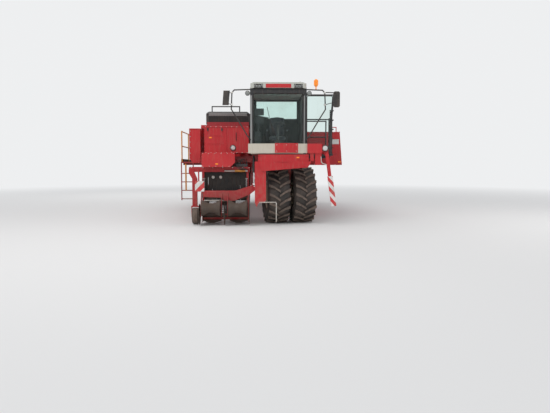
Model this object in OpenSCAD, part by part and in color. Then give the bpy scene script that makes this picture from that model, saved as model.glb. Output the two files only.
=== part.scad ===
// Self-propelled two-row potato harvester: offset digging unit, picking platform and a
// side-delivering bunker. Millimetres, +Z up. -Y is the way it drives, +X is the driver's
// left. The origin lies on the ground under the middle of the machine.

/* [Running gear] */
// Radius of a front tyre over its lugs
front_tyre_r = 780; // [740:5:790]
// Width of each front tyre
front_tyre_w = 620; // [560:5:630]
// Distance between the centres of the two front tyres
twin_pitch = 730; // [725:5:760]
// Radius of a rear tyre over its lugs
rear_tyre_r = 930; // [880:5:945]
// Width of a rear tyre
rear_tyre_w = 750; // [650:5:760]
// Distance between the centres of the rear tyres
rear_track = 2600; // [2590:10:2660]
// Distance from the front axle to the rear axle
wheelbase = 6500; // [6450:10:6560]
// Height of the tyre lugs
lug_h = 45; // [30:1:55]
// Angle to which the front wheels are turned
steer_angle = 8.2; // [0:0.2:12]
// Place of the front pivot across the machine
twin_x = 890; // [870:5:910]

/* [Frame] */
// Width of a main beam
beam_w = 160; // [120:5:170]
// Height of a main beam
beam_h = 220; // [180:5:230]
// Gap between the front tyres' top and the main beams
beam_gap = 100; // [85:5:130]
// Overall length
machine_l = 10200; // [10120:10:10400]
// Distance from the middle to the edge of the picking platform
deck_x = 2620; // [2560:10:2700]

/* [Cab] */
// Outside width of the cab
cab_w = 1480; // [1420:10:1520]
// Outside length of the cab
cab_l = 1720; // [1600:10:1760]
// Height of the cab from its floor to the underside of its roof
cab_h = 1700; // [1620:10:1760]
// Thickness of the cab's pillars
pillar = 80; // [60:2:95]
// Thickness of the glass
glass_t = 8; // [6:1:10]
// Height of the roof cap
roof_h = 165; // [140:5:200]
// Width of the door
door_w = 800; // [760:5:840]

/* [Digging unit] */
// Distance between the two rows
row_pitch = 730; // [700:5:740]
// Width of the sieving channel between its side plates
web_w = 1260; // [1200:10:1280]
// Thickness of a web rod
web_rod = 14; // [10:1:18]
// Distance from rod to rod
web_pitch = 140; // [120:5:180]
// Diameter of a ridge roller at its ends
roller_d = 420; // [380:10:430]
// Diameter of a coulter disc
coulter_d = 560; // [500:10:570]
// Diameter of the depth wheel
depth_wheel_d = 440; // [400:10:460]

/* [Bunker and platform] */
// Length of the bunker
bunker_l = 4000; // [3600:20:4010]
// Height of the bunker's rim above its hinge
bunker_h = 700; // [600:10:720]
// Thickness of sheet walls
sheet = 12; // [8:1:14]
// Height of the platform's deck above the ground
deck_z = 1730; // [1680:10:1760]
// Length of the picking platform
deck_l = 3300; // [2800:20:3400]

/* [Hidden] */
$fn = 48;

red = [0.72, 0.07, 0.09];
dark_red = [0.5, 0.05, 0.07];
cream = [0.80, 0.78, 0.70];
black = [0.07, 0.07, 0.08];
steel = [0.55, 0.55, 0.56];
soil_steel = [0.35, 0.28, 0.24];
rubber = [0.16, 0.15, 0.15];
clear = [0.65, 0.80, 0.78, 0.4];
lens = [0.9, 0.9, 0.88];
amber = [0.95, 0.5, 0.1];

fit = 0.3;

front_y = -5100;
rear_y = front_y + machine_l;
front_axle_y = front_y + 1150;
rear_axle_y = front_axle_y + wheelbase;
beam_z = 2 * front_tyre_r + beam_gap;
beam_top = beam_z + beam_h;
beam_x = [60, 620];
beam_in = beam_x[0] - beam_w / 2;
beam_out = beam_x[1] + beam_w / 2;

king_x = rear_track / 2 - 440;
rear_rim_r = 0.48 * rear_tyre_r;
front_rim_r = 0.5 * front_tyre_r;

cab_x = 578;
cab_x0 = cab_x - cab_w / 2;
cab_x1 = cab_x + cab_w / 2;
cab_y0 = front_y + 130;
cab_y1 = cab_y0 + cab_l;
floor_z = beam_top + 30;
floor_t = 60;
cabin_z = floor_z + floor_t;
cab_top = floor_z + cab_h;
rake = 70;
beam_front = cab_y0 + 300;

channel_x1 = -200;
channel_x0 = channel_x1 - web_w - 60;
channel_x = (channel_x0 + channel_x1) / 2;
digger_pivot = [-1400, 1270];
web_front = [-4200, 200];
web_r = 85;
share_w = 510;
frame_z = 1500;
roller_y = -4800;
roller_z = 470;
coulter_z = coulter_d / 2 + 25;
side_rail_x = channel_x0 - 230;
depth_x = side_rail_x + 80;
depth_y = -4470;
depth_z = depth_wheel_d / 2 + 12;
cross_z = beam_z + 40;
cross_h = beam_h - 60;
cross_top = cross_z + cross_h;

lift_x = -75;
lift_top = [-4560, beam_top - 30];
lift_foot = [-4580, 1090];
lift_play = 1.4;
lift_len = norm(lift_top - lift_foot);
lift_dir = atan2(lift_foot.x - lift_top.x, lift_top.y - lift_foot.y);

bunker_x = 20;
bunker_y0 = -2558;
bunker_y1 = bunker_y0 + bunker_l - 42;
bunker_z = beam_top + 60;
bunker_top = bunker_z + bunker_h;
bunker_hinges = [bunker_y0 - 50, bunker_y1 + 10];
end_x = 1520;
end_z = 1690;
end_hinges = [bunker_y0 + 100, bunker_y1 - 220];
end_pin = [end_x, end_z - 30];

tip_foot = [730, 1460];
tip_head = [1440, 1620];
tip_ys = [bunker_y0 + 258, bunker_y1 - 300];
// Pin of a tipping rod, and its play in the bunker's ears, which the rod needs half way up
tip_pin_r = 12;
tip_play = 10.8;
tip_len = norm(tip_head - tip_foot);
tip_dir = atan2(tip_head.y - tip_foot.y, tip_head.x - tip_foot.x);

housing_y0 = -4280;
housing_z0 = 1950;
housing_z1 = 2680;
table_z = 2830;
table_x0 = channel_x0;
table_x1 = channel_x1 - 20;
fill_y0 = -2960;
fill_y1 = -2400;
deck_y0 = -800;
hood_top = 2950;
hood_y0 = rear_axle_y + 400;
tank_y0 = rear_axle_y + rear_tyre_r + 280;
tank_y1 = rear_y - 300;
engine_y0 = hood_y0 + 400;
engine_y1 = rear_y - 400;

hinge_x = cab_x1 + 21;
hinge_y = front_axle_y - 130;
door_y = hinge_y + 30;
door_x = hinge_x + 20;
door_rake = 110;
door_z0 = floor_z + 100;
door_z1 = cab_top - 30;
hinge_zs = [door_z0 + 250, door_z1 - 300];

ladder_x = cab_x1 + 870;
ladder_y0 = -3440;
ladder_y1 = -3020;
ladder_z = floor_z + 12;

bumper_z0 = floor_z + 20;
bumper_z1 = floor_z + 270;
bumper_x0 = cab_x0 - 55;
bumper_x1 = cab_x1 + 20;
bumper_bow = 90;
bumper_t = 50;
centre_x0 = 485;
centre_x1 = 1087;
head_l = [1807, front_y + 100, floor_z + 150];
head_r = [-652, -4290, floor_z + 183];
width_arm = [1860, front_y + 110, bumper_z0];
width_tilt = 7.5;
skirt_y = front_y + 20;
hood_z = floor_z - 15;

// A box given by two opposite corners
module block(a, b) {
    translate(a) cube(b - a);
}

// A flat outline in Y and Z, drawn out along X
module along_x(x0, x1) {
    translate([x0, 0, 0]) rotate([90, 0, 90]) linear_extrude(x1 - x0) children();
}

// A flat outline in X and Z, drawn out along Y
module along_y(y0, y1) {
    translate([0, y1, 0]) rotate([90, 0, 0]) linear_extrude(y1 - y0) children();
}

// A flat outline in X and Y, drawn out along Z
module along_z(z0, z1) {
    translate([0, 0, z0]) linear_extrude(z1 - z0) children();
}

// A round bar from a to b
module bar(a, b, d) {
    v = b - a;
    l = norm(v);
    translate(a) rotate([0, acos(v.z / l), atan2(v.y, v.x)]) cylinder(h = l, d = d);
}

// A bent tube through a list of points, with a ball at each bend
module tube(points, d) {
    for (i = [1 : len(points) - 1]) bar(points[i - 1], points[i], d);
    if (len(points) > 2) for (i = [1 : len(points) - 2]) translate(points[i]) sphere(d = 1.06 * d);
}

// A disc or drum whose axis lies along X
module drum(x0, x1, r, y = 0, z = 0) {
    translate([x0, y, z]) rotate([0, 90, 0]) cylinder(h = x1 - x0, r = r);
}

// A disc or drum whose axis lies along Y
module drum_y(y0, y1, r, x = 0, z = 0) {
    translate([x, y0, z]) rotate([-90, 0, 0]) cylinder(h = y1 - y0, r = r);
}

// A rectangle with its four corners cut at 45 degrees
module chamfered(a, b, c) {
    polygon([[a.x + c, a.y], [b.x - c, a.y], [b.x, a.y + c], [b.x, b.y - c],
             [b.x - c, b.y], [a.x + c, b.y], [a.x, b.y - c], [a.x, a.y + c]]);
}

// Outline of a belt that runs round two drums of radius r at a and b
function loop_outline(a, b, r) =
    let (v = b - a, tilt = atan2(v.y, v.x))
    concat([for (t = [90 : 30 : 270]) a + r * [cos(tilt + t), sin(tilt + t)]],
           [for (t = [-90 : 30 : 90]) b + r * [cos(tilt + t), sin(tilt + t)]]);

// Flat ring of a belt of the given thickness on that line
module belt_ring(a, b, r, thick) {
    difference() {
        polygon(loop_outline(a, b, r + thick / 2));
        polygon(loop_outline(a, b, r - thick / 2));
    }
}

// Length of the line, and the point on it at distance s from the top over a
function loop_length(a, b, r) = 2 * norm(b - a) + 2 * PI * r;
function loop_point(a, b, r, s) =
    let (v = b - a, l = norm(v), u = v / l, n = [-u.y, u.x], arc = PI * r,
         t = (s < l + arc ? s - l : s - 2 * l - arc) / r * 180 / PI)
    s < l ? a + u * s + n * r
    : s < l + arc ? b + r * (n * cos(t) + u * sin(t))
    : s < 2 * l + arc ? b - u * (s - l - arc) - n * r
    : a - r * (n * cos(t) + u * sin(t));

// Sieving web: belts at the sides and in the middle, with cross rods at an even pitch
module rod_web(a, b, r, x0, x1) {
    middle = (x0 + x1) / 2;
    for (x = [x0, middle - 25, x1 - 50])
        along_x(x, x + 50) belt_ring(a, b, r, 12);
    length = loop_length(a, b, r);
    count = floor(length / web_pitch);
    for (i = [0 : count - 1]) {
        p = loop_point(a, b, r, i * length / count);
        translate([x0 + 10, p.x, p.y]) rotate([0, 90, 0]) cylinder(h = x1 - x0 - 20, d = web_rod, $fn = 6);
    }
}

// Plan of one lug: across the tyre, along the tread, half its thickness there
module lug_plan(side, w, r) {
    bend = [[-0.02 * w, -0.150 * r, 0.036 * r], [0.24 * w, -0.006 * r, 0.038 * r], [0.468 * w, 0.070 * r, 0.050 * r]];
    front = [for (b = bend) [side * b.x, b.y - b.z]];
    back = [for (i = [len(bend) - 1 : -1 : 0]) [side * bend[i].x, bend[i].y + bend[i].z]];
    polygon(concat(front, back));
}

// Drive tyre round the X axis: a turned carcass with two rows of bent lugs
module drive_tyre(r, w, rim_r, lugs) {
    $fn = 144;
    base = r - lug_h;
    wall = base - rim_r;
    // Radius and place across the tyre, from bead to tread
    half = [[rim_r, 0.40 * w], [rim_r + 0.12 * wall, 0.45 * w], [rim_r + 0.42 * wall, 0.5 * w],
            [rim_r + 0.72 * wall, 0.495 * w], [base - 24, 0.43 * w], [base - 4, 0.25 * w]];
    other = [for (i = [len(half) - 1 : -1 : 0]) [half[i].x, -half[i].y]];
    rotate([0, 90, 0]) rotate_extrude() polygon(concat(half, other));
    intersection() {
        drum(-w / 2, w / 2, r);
        union() for (side = [-1, 1], i = [0 : lugs - 1])
            rotate([(i + (side > 0 ? 0.5 : 0)) * 360 / lugs, 0, 0])
                along_z(base - 70, r + 20) lug_plan(side, w, r);
    }
}

// Dished wheel round the X axis, its face towards +X
module wheel_rim(rim_r, w, hub_r, face) {
    out = rim_r - fit;
    rotate([0, 90, 0]) rotate_extrude() polygon([
        [out, -0.40 * w], [out, 0.40 * w], [out - 28, 0.40 * w], [out - 42, 0.3 * w],
        [out - 60, face + 40], [0.62 * out, face + 14], [hub_r + 40, face + 14], [hub_r + 30, face + 60],
        [hub_r, face + 60], [hub_r, face - 40], [out - 90, face], [out - 60, face - 30], [out - 42, -0.3 * w],
        [out - 28, -0.40 * w]]);
}

// Crossmembers: place along the machine, from x, to x
crossmembers = [[-4120, side_rail_x, beam_x[0]], [-2800, side_rail_x, beam_x[1]], [-900, side_rail_x, beam_x[1]],
                [1200, side_rail_x, beam_x[1]], [rear_y - 260, beam_x[0], beam_x[1]]];

// Two main beams, side rail, crossmembers, front carrier, axle pedestals and bearings
module chassis() {
    color(dark_red) {
        for (x = beam_x)
            block([x - beam_w / 2, beam_front, beam_z], [x + beam_w / 2, rear_y - 140, beam_top]);
        for (c = crossmembers)
            block([c[1], c[0], cross_z], [c[2], c[0] + 120, cross_top]);
        block([side_rail_x, crossmembers[0][0], cross_z], [side_rail_x + 110, 1420, cross_top]);
        difference() {
            block([beam_x[0], front_axle_y - 260, beam_z], [twin_x + 420, front_axle_y + 260, cross_top]);
            translate([twin_x, front_axle_y, beam_z]) cylinder(h = beam_h, d = 130.4);
        }
        for (x = beam_x)
            along_x(x - 60, x + 60) polygon([[rear_axle_y - 320, beam_z], [rear_axle_y + 320, beam_z],
                [rear_axle_y + 130, rear_tyre_r + 100], [rear_axle_y - 130, rear_tyre_r + 100]]);
        // Ears of the lift cylinder beside the right beam
        for (x = [lift_x - 50, lift_x + 30])
            along_x(x, x + 20) difference() {
                polygon([[lift_top.x - 60, beam_top + 25], [lift_top.x + 60, beam_top + 25],
                    [lift_top.x + 40, lift_top.y - 45], [lift_top.x - 40, lift_top.y - 45]]);
                translate(lift_top) circle(r = 18.2);
            }
        block([lift_x - 50, lift_top.x - 60, beam_top], [beam_x[0] + 20, lift_top.x + 60, beam_top + 25]);
        // Bearings of the bunker's hinge on the right beam
        for (y = bunker_hinges)
            along_y(y, y + 40) difference() {
                polygon([[bunker_x - 40, beam_top], [bunker_x + 60, beam_top], [bunker_x + 40, bunker_z + 30],
                    [bunker_x - 40, bunker_z + 30]]);
                translate([bunker_x, bunker_z]) circle(r = 20.2);
            }
        // Brackets of the tipping cylinders under the left beam
        for (y = tip_ys, s = [-37, 17])
            along_y(y + s, y + s + 20) difference() {
                polygon([[beam_out - 120, beam_z], [beam_out - 20, beam_z], [tip_foot.x + 34, tip_foot.y + 14],
                    [tip_foot.x + 30, tip_foot.y - 30], [tip_foot.x - 30, tip_foot.y - 36]]);
                translate(tip_foot) circle(r = 20.2);
            }
    }
}

// Dead axle beam with a forked end for each kingpin
module rear_axle() {
    color(dark_red) difference() {
        union() {
            block([-king_x + 100, rear_axle_y - 90, rear_tyre_r - 100], [king_x - 100, rear_axle_y + 90, rear_tyre_r + 100]);
            for (s = [-1, 1], z = [rear_tyre_r - 150, rear_tyre_r + 98])
                block([s > 0 ? king_x - 160 : -king_x - 50, rear_axle_y - 60, z],
                      [s > 0 ? king_x + 50 : -king_x + 160, rear_axle_y + 60, z + 52]);
        }
        for (s = [-1, 1]) translate([s * king_x, rear_axle_y, rear_tyre_r - 200]) cylinder(h = 400, d = 60.2);
    }
}

// Steering knuckle of one rear wheel: kingpin, block and stub axle
module knuckle(s) {
    color(steel) translate([s * king_x, rear_axle_y, rear_tyre_r]) {
        translate([0, 0, -165]) cylinder(h = 330, d = 60);
        block([-60, -60, -92], [60, 60, 92]);
        mirror([s > 0 ? 0 : 1, 0, 0]) drum(50, 500, 70);
    }
}

module rear_place(s) {
    translate([s * rear_track / 2, rear_axle_y, rear_tyre_r]) mirror([s > 0 ? 0 : 1, 0, 0]) children();
}

module rear_tyre(s) {
    color(rubber) rear_place(s) drive_tyre(rear_tyre_r, rear_tyre_w, rear_rim_r, 20);
}

module rear_rim(s) {
    color(cream) rear_place(s) difference() {
        wheel_rim(rear_rim_r, rear_tyre_w, 70.2, 20);
        for (a = [0 : 45 : 315]) rotate([a, 0, 0]) drum(-100, 200, 24, 0, 170);
    }
}

module front_place() {
    translate([twin_x, front_axle_y, front_tyre_r]) rotate([0, 0, steer_angle]) children();
}

// Turntable, kingpin and the single leg that stands between the twin wheels
module steer_yoke() {
    top = beam_z - fit - front_tyre_r;
    color(dark_red) front_place() difference() {
        union() {
            translate([0, 0, top - 60]) cylinder(h = beam_h, d = 130);
            translate([0, 0, top - 60]) cylinder(h = 60, d = 500);
            along_x(-40, 40) polygon([[-240, top - 30], [240, top - 30], [240, top - 130], [130, 420],
                [130, -60], [90, -130], [-90, -130], [-130, -60], [-130, 420], [-240, top - 130]]);
        }
        drum(-60, 60, 60.1);
    }
}

module front_tyres() {
    color(rubber) front_place() for (s = [-1, 1])
        translate([s * twin_pitch / 2, 0, 0]) drive_tyre(front_tyre_r, front_tyre_w, front_rim_r, 20);
}

module front_rims() {
    color(cream) front_place() {
        drum(-twin_pitch / 2 - 140, twin_pitch / 2 + 140, 60);
        for (s = [-1, 1]) mirror([s > 0 ? 0 : 1, 0, 0]) translate([twin_pitch / 2, 0, 0])
            wheel_rim(front_rim_r, front_tyre_w, 59, 60);
    }
}

// Pillars, sills, roof frame, door hinges and the lower rear wall of the cab
module cab_frame() {
    color(black) {
        block([cab_x0, cab_y0 + rake, floor_z], [cab_x1, cab_y1, cabin_z]);
        for (x = [cab_x0, cab_x1 - pillar]) {
            along_x(x, x + pillar) polygon([[cab_y0 + rake, floor_z], [cab_y0 + rake + pillar, floor_z],
                [cab_y0 + pillar, cab_top], [cab_y0, cab_top]]);
            block([x, cab_y1 - pillar, floor_z], [x + pillar, cab_y1, cab_top]);
            block([x, cab_y0, cab_top - pillar], [x + pillar, cab_y1, cab_top]);
        }
        block([cab_x0, cab_y0, cab_top - pillar - 40], [cab_x1, cab_y0 + pillar, cab_top]);
        block([cab_x0, cab_y1 - pillar, cab_top - pillar], [cab_x1, cab_y1, cab_top]);
        block([cab_x1 - pillar, door_y - 10, floor_z], [cab_x1 - 10, door_y + pillar, cab_top]);
        difference() {
            block([cab_x0 + 20, cab_y1 - 50, floor_z], [cab_x1 - 20, cab_y1 - 10, cab_top - 20]);
            block([cab_x0 + 150, cab_y1 - 60, cab_top - 640], [cab_x1 - 150, cab_y1, cab_top - 140]);
        }
        for (x = beam_x, y = [cab_y0 + 620, cab_y1 - 200])
            translate([x, y, beam_top]) cylinder(h = 31, d = 110);
        // Lugs and pins of the door's hinges
        for (z = hinge_zs) {
            block([cab_x1 - 12, hinge_y - 14, z - 30], [hinge_x + 14, door_y + 20, z - fit]);
            translate([hinge_x, hinge_y, z - 10]) cylinder(h = 70, d = 12);
        }
    }
}

// Windscreen, rear window, right side window and the fixed pane behind the door
module cab_glass() {
    color(clear) {
        along_x(cab_x0 + pillar + fit, cab_x1 - pillar - fit) polygon([
            [cab_y0 + rake + 20, cabin_z + fit], [cab_y0 + rake + 20 + glass_t, cabin_z + fit],
            [cab_y0 + 24 + glass_t, cab_top - pillar - 40 - fit], [cab_y0 + 24, cab_top - pillar - 40 - fit]]);
        block([cab_x0 + 150 + fit, cab_y1 - 40, cab_top - 640 + fit], [cab_x1 - 150 - fit, cab_y1 - 40 + glass_t, cab_top - 140 - fit]);
        along_x(cab_x0 + 30, cab_x0 + 30 + glass_t) polygon([
            [cab_y0 + rake + pillar + 3, cabin_z + fit], [cab_y1 - pillar - fit, cabin_z + fit],
            [cab_y1 - pillar - fit, cab_top - pillar - fit], [cab_y0 + pillar + 8, cab_top - pillar - fit]]);
        block([cab_x1 - 40, door_y + pillar + fit, cabin_z + fit],
              [cab_x1 - 40 + glass_t, cab_y1 - pillar - fit, cab_top - pillar - fit]);
    }
}

// Roof cap with a chamfered edge, two lamp pockets and a shallow bay between them
module cab_roof() {
    color(cream) difference() {
        union() {
            along_z(cab_top + fit, cab_top + roof_h - 35)
                chamfered([cab_x0 + 10, cab_y0 - 60], [cab_x1 - 10, cab_y1 + 30], 60);
            along_z(cab_top + roof_h - 35, cab_top + roof_h)
                chamfered([cab_x0 + 60, cab_y0 + 20], [cab_x1 - 60, cab_y1 - 40], 50);
        }
        for (s = [-1, 1]) block([cab_x + s * 520 - 115, cab_y0 - 90, cab_top - 10],
                                [cab_x + s * 520 + 115, cab_y0 + 60, cab_top + 110]);
        block([cab_x - 330, cab_y0 - 90, cab_top + 12], [cab_x + 330, cab_y0 - 45, cab_top + 112]);
    }
}

// Driver's seat on its pedestal, with back and armrests
module seat() {
    y = cab_y0 + 1080;
    color(black) {
        block([cab_x - 170, y - 170, cabin_z + fit], [cab_x + 170, y + 170, cabin_z + 330]);
        block([cab_x - 250, y - 240, cabin_z + 330], [cab_x + 250, y + 240, cabin_z + 460]);
        along_x(cab_x - 230, cab_x + 230) polygon([[y + 130, cabin_z + 440], [y + 260, cabin_z + 440],
            [y + 330, cabin_z + 1060], [y + 230, cabin_z + 1080]]);
        for (s = [-1, 1]) {
            block([cab_x + s * 285 - 35, y - 180, cabin_z + 600], [cab_x + s * 285 + 35, y + 200, cabin_z + 660]);
            block([cab_x + s * 265 - 20, y + 120, cabin_z + 400], [cab_x + s * 265 + 20, y + 170, cabin_z + 610]);
        }
    }
}

// Steering column with its wheel, and the side console with joystick and two screens
module controls() {
    foot = [cab_x, cab_y0 + 330, cabin_z + fit];
    y = cab_y0 + 900;
    side = cab_x0 + 205;
    color(black) {
        block(foot - [90, 70, 0], foot + [90, 70, 300]);
        bar(foot + [0, 0, 280], foot + [0, 190, 700], 70);
        translate(foot + [0, 190, 700]) rotate([-24, 0, 0]) {
            translate([0, 0, -10]) cylinder(h = 40, d = 90);
            rotate_extrude() translate([190, 15]) circle(d = 30);
            for (a = [90, 210, 330]) rotate([0, 0, a]) block([0, -14, 5], [185, 14, 20]);
        }
        block([side - 95, y - 250, cabin_z + fit], [side + 75, y + 450, cabin_z + 560]);
        bar([side, y - 100, cabin_z + 555], [side, y - 120, cabin_z + 700], 40);
        translate([side, y - 122, cabin_z + 710]) sphere(d = 70);
        bar([side, y - 215, cabin_z + 555], [side, y - 300, cabin_z + 1130], 34);
        for (z = [780, 1000])
            block([side - 95, y - 350, cabin_z + z], [side + 155, y - 290, cabin_z + z + 175]);
    }
}

// Outline of the bumper from above: a shallow arc with an inner edge
module bumper_plan(grow) {
    span = bumper_x1 - bumper_x0;
    radius = (span * span / 4 + bumper_bow * bumper_bow) / (2 * bumper_bow);
    intersection() {
        translate([(bumper_x0 + bumper_x1) / 2, front_y + 20 - grow + radius]) difference() {
            circle(r = radius, $fn = 200);
            circle(r = radius - bumper_t - grow, $fn = 200);
        }
        translate([bumper_x0, front_y]) square([span, 240]);
    }
}

module bumper() {
    color(cream) difference() {
        union() {
            along_z(bumper_z0, bumper_z1) bumper_plan(0);
            for (x = [bumper_x0 + 65, bumper_x1 - 190])
                block([x, front_y + 110, floor_z + fit], [x + 80, cab_y0 + rake - 12, bumper_z1 - 60]);
            block([cab_x0 + pillar + 2, front_y + 110, floor_z], [cab_x1 - pillar - 10, cab_y0 + rake - fit, floor_z + 30]);
        }
        block([centre_x0 - fit, front_y - 10, bumper_z0 + 10], [centre_x1 + fit, front_y + 145, bumper_z1 + 10]);
    }
}

// Middle of the bumper, plain panel in the roof's front, and the blocks by the headlamp
module red_front_panels() {
    color(red) {
        intersection() {
            along_z(bumper_z0 + 10 + fit, bumper_z1 + 10) bumper_plan(20);
            block([centre_x0, front_y - 10, bumper_z0], [centre_x1, front_y + 145 - fit, bumper_z1 + 20]);
        }
        block([cab_x - 330 + fit, cab_y0 - 64, cab_top + 12 + fit], [cab_x + 330 - fit, cab_y0 - 45 - fit, cab_top + 112 - fit]);
        along_y(front_y + 70, front_y + 200) chamfered([bumper_x1 + fit, bumper_z0], [head_l.x - 80, bumper_z1], 22);
        block([head_l.x - 100, front_y + 150, head_l.z - 40], [head_l.x + 40, front_y + 190, head_l.z + 40]);
        block([width_arm.x - 60, front_y + 150, bumper_z0 - 60], [width_arm.x + 40, front_y + 190, head_l.z]);
        block([width_arm.x - 60, front_y + 130, bumper_z0 - 60], [width_arm.x + 40, front_y + 160, bumper_z0 + 40]);
        block([1415, front_y + 110, 1720], [1510, front_y + 180, bumper_z0 + 40]);
        block([1545, front_y + 110, 1625], [1715, front_y + 180, bumper_z0 + 40]);
    }
}

// Hood band under the cab, sloping skirt over the twin wheels and the mud plate beside them
module fender() {
    color(red) {
        along_z(hood_z - 190, hood_z) polygon([[40, skirt_y + 70], [300, skirt_y + 30], [700, skirt_y],
            [1100, skirt_y + 30], [1375, skirt_y + 70], [1375, skirt_y + 90], [1110, skirt_y + 50],
            [700, skirt_y + 20], [290, skirt_y + 50], [40, skirt_y + 90]]);
        along_y(skirt_y + 20, skirt_y + 44) polygon([[64, hood_z - 180], [1433, hood_z - 180], [1433, hood_z - 210],
            [1349, hood_z - 338], [132, hood_z - 438], [64, hood_z - 250]]);
        block([40, skirt_y + 40, hood_z - 30], [1375, cab_y0 + 140, hood_z]);
        along_y(skirt_y + 44, skirt_y + 60) polygon([[-45, hood_z - 185], [250, hood_z - 185], [250, 700],
            [197, 620], [53, 620], [0, 515], [-45, 620]]);
        along_x(-45, -29) polygon([[skirt_y + 44, 620], [skirt_y + 44, hood_z - 185], [skirt_y + 300, hood_z - 185],
            [skirt_y + 300, 1300], [skirt_y + 140, 700]]);
        block([-45, skirt_y + 44, hood_z - 205], [70, skirt_y + 300, hood_z - 185]);
        block([40, skirt_y + 60, hood_z - 190], [56, skirt_y + 300, hood_z - 10]);
        for (x = beam_x)
            block([x + 20, skirt_y + 60, hood_z - 30], [x + 60, beam_front - fit, hood_z - 15]);
    }
}

// Lamp round the Y axis, facing forward: housing, rim and lens
module round_lamp(p, r, depth) {
    translate(p) rotate([90, 0, 0]) {
        translate([0, 0, -depth]) cylinder(h = depth, r1 = 0.6 * r, r2 = r);
        cylinder(h = 12, r = r);
        translate([0, 0, 12]) cylinder(h = 8, r1 = 0.85 * r, r2 = 0.5 * r);
    }
}

module lamps() {
    color(lens) {
        round_lamp(head_l, 75, 50 - fit);
        round_lamp(head_r, 70, 10 - fit);
        for (s = [-1, 1]) {
            translate([cab_x + s * 520, cab_y0 + 50, cab_top + 55]) {
                block([-100, -95, -50], [100, 10 - fit, 45]);
                along_y(-105, -95) polygon([[-75, -38], [75, -38], [55, 34], [-55, 34]]);
            }
            round_lamp([cab_x + s * (cab_w / 2 + 65), cab_y0 - 10, cab_top - 125], 60, 60);
            bar([cab_x + s * (cab_w / 2 + 65), cab_y0 + 40, cab_top - 125], [cab_x + s * (cab_w / 2 + fit), cab_y0 + 40, cab_top - 125], 24);
        }
    }
}

// Bent tubes at both front corners of the cab, with the mirrors that they carry
module mirrors() {
    y = cab_y0 - 16 - fit;
    reach = cab_w / 2 + 470;
    color(black) {
        for (s = [-1, 1])
            tube([[cab_x + s * (cab_w / 2 - 20), y, cab_top - 30], [cab_x + s * (reach - 60), y, cab_top - 45],
                  [cab_x + s * reach, y, cab_top - 110], [cab_x + s * (reach + 20), y, cab_top - 540],
                  [cab_x + s * (reach - 160), y, cab_top - 830], [cab_x + s * (cab_w / 2 + 70), y, cab_top - 1230],
                  [cab_x + s * (cab_w / 2 - 10), cab_y0 + 38, cab_top - 1330]], 32);
        bar([cab_x + reach - 10, y, cab_top - 100], [cab_x + cab_w / 2 + 780, y + 10, cab_top - 110], 26);
        bar([cab_x + reach, y, cab_top - 420], [cab_x + cab_w / 2 + 770, y + 10, cab_top - 340], 18);
        bar([cab_x - reach, y, cab_top - 130], [cab_x - reach - 110, y + 10, cab_top - 100], 18);
        bar([cab_x - reach, y, cab_top - 420], [cab_x - reach - 130, y + 10, cab_top - 390], 18);
        along_y(y + 5, y + 50) chamfered([cab_x1 + 700, cab_top - 480], [cab_x1 + 870, cab_top - 70], 30);
        along_y(y + 5, y + 50) polygon([[cab_x0 - 720, cab_top - 430], [cab_x0 - 560, cab_top - 430],
            [cab_x0 - 525, cab_top - 60], [cab_x0 - 690, cab_top - 60]]);
    }
}

// Flashing beacon on a stalk over the left mirror tube
module beacon() {
    p = [cab_x1 + 240, cab_y0 - 16 - fit, cab_top - 22.5];
    color(amber) {
        translate(p) cylinder(h = 70, d = 30);
        translate(p + [0, 0, 70]) cylinder(h = 40, r1 = 30, r2 = 56);
        translate(p + [0, 0, 110]) cylinder(h = 120, r = 54);
        translate(p + [0, 0, 230]) cylinder(h = 30, r1 = 54, r2 = 25);
    }
}

// Long striped board on a hanging arm at the driver's left
module width_board() {
    color(red) translate(width_arm) rotate([0, -width_tilt, 0]) {
        block([-50, -20, -640], [40, 19.7, -20]);
        block([-28, -20, -40], [28, 19.7, 20]);
        block([-70, -26, -1410], [71, -6, -610]);
        block([-20, -7, -1300], [20, 14, -600]);
    }
}

// Thin bent feeler in front of the twin wheels
module feeler_bar() {
    y = skirt_y + 44 - 13 - fit;
    color(steel) tube([[70, y, 640], [500, y, 640], [520, y, 615], [520, y, 120]], 26);
}

// Standing deck beside the cab, with its hand rails and brackets
module cab_deck() {
    x1 = cab_x1 + 830;
    y0 = front_axle_y + 110;
    y1 = -2690;
    post = 40;
    rail = 36;
    color(black) {
        block([cab_x1 + fit, y0, floor_z - 20], [x1, y1, floor_z + 15]);
        for (y = [y0 + 200, y1 - 200])
            block([beam_out + fit, y, floor_z - 90], [x1 - 40, y + 60, floor_z - 19]);
        for (p = [[x1 - 50, y0 + 30], [x1 - 50, y0 + 350], [x1 - 50, y1 - 50], [cab_x1 + 60, y1 - 50]])
            translate([p.x, p.y, floor_z]) cylinder(h = 1060, d = post);
        for (z = [560, 1040]) {
            bar([x1 - 50, y0 + 30, floor_z + z], [x1 - 50, y0 + 350, floor_z + z], rail);
            bar([cab_x1 + 60, y1 - 50, floor_z + z], [x1 - 50, y1 - 50, floor_z + z], rail);
        }
        bar([cab_x1 + fit, y0 + 30, floor_z + 1000], [x1 - 50, y0 + 30, floor_z + 1000], rail);
        // Ears of the folding ladder
        for (y = [ladder_y0 - 30, ladder_y1 + 6])
            along_y(y, y + 24) difference() {
                polygon([[x1 - 5, floor_z - 20], [ladder_x + 30, floor_z - 20], [ladder_x + 30, floor_z + 40], [x1 - 5, floor_z + 40]]);
                translate([ladder_x, ladder_z]) circle(r = 12.2);
            }
    }
}

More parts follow.
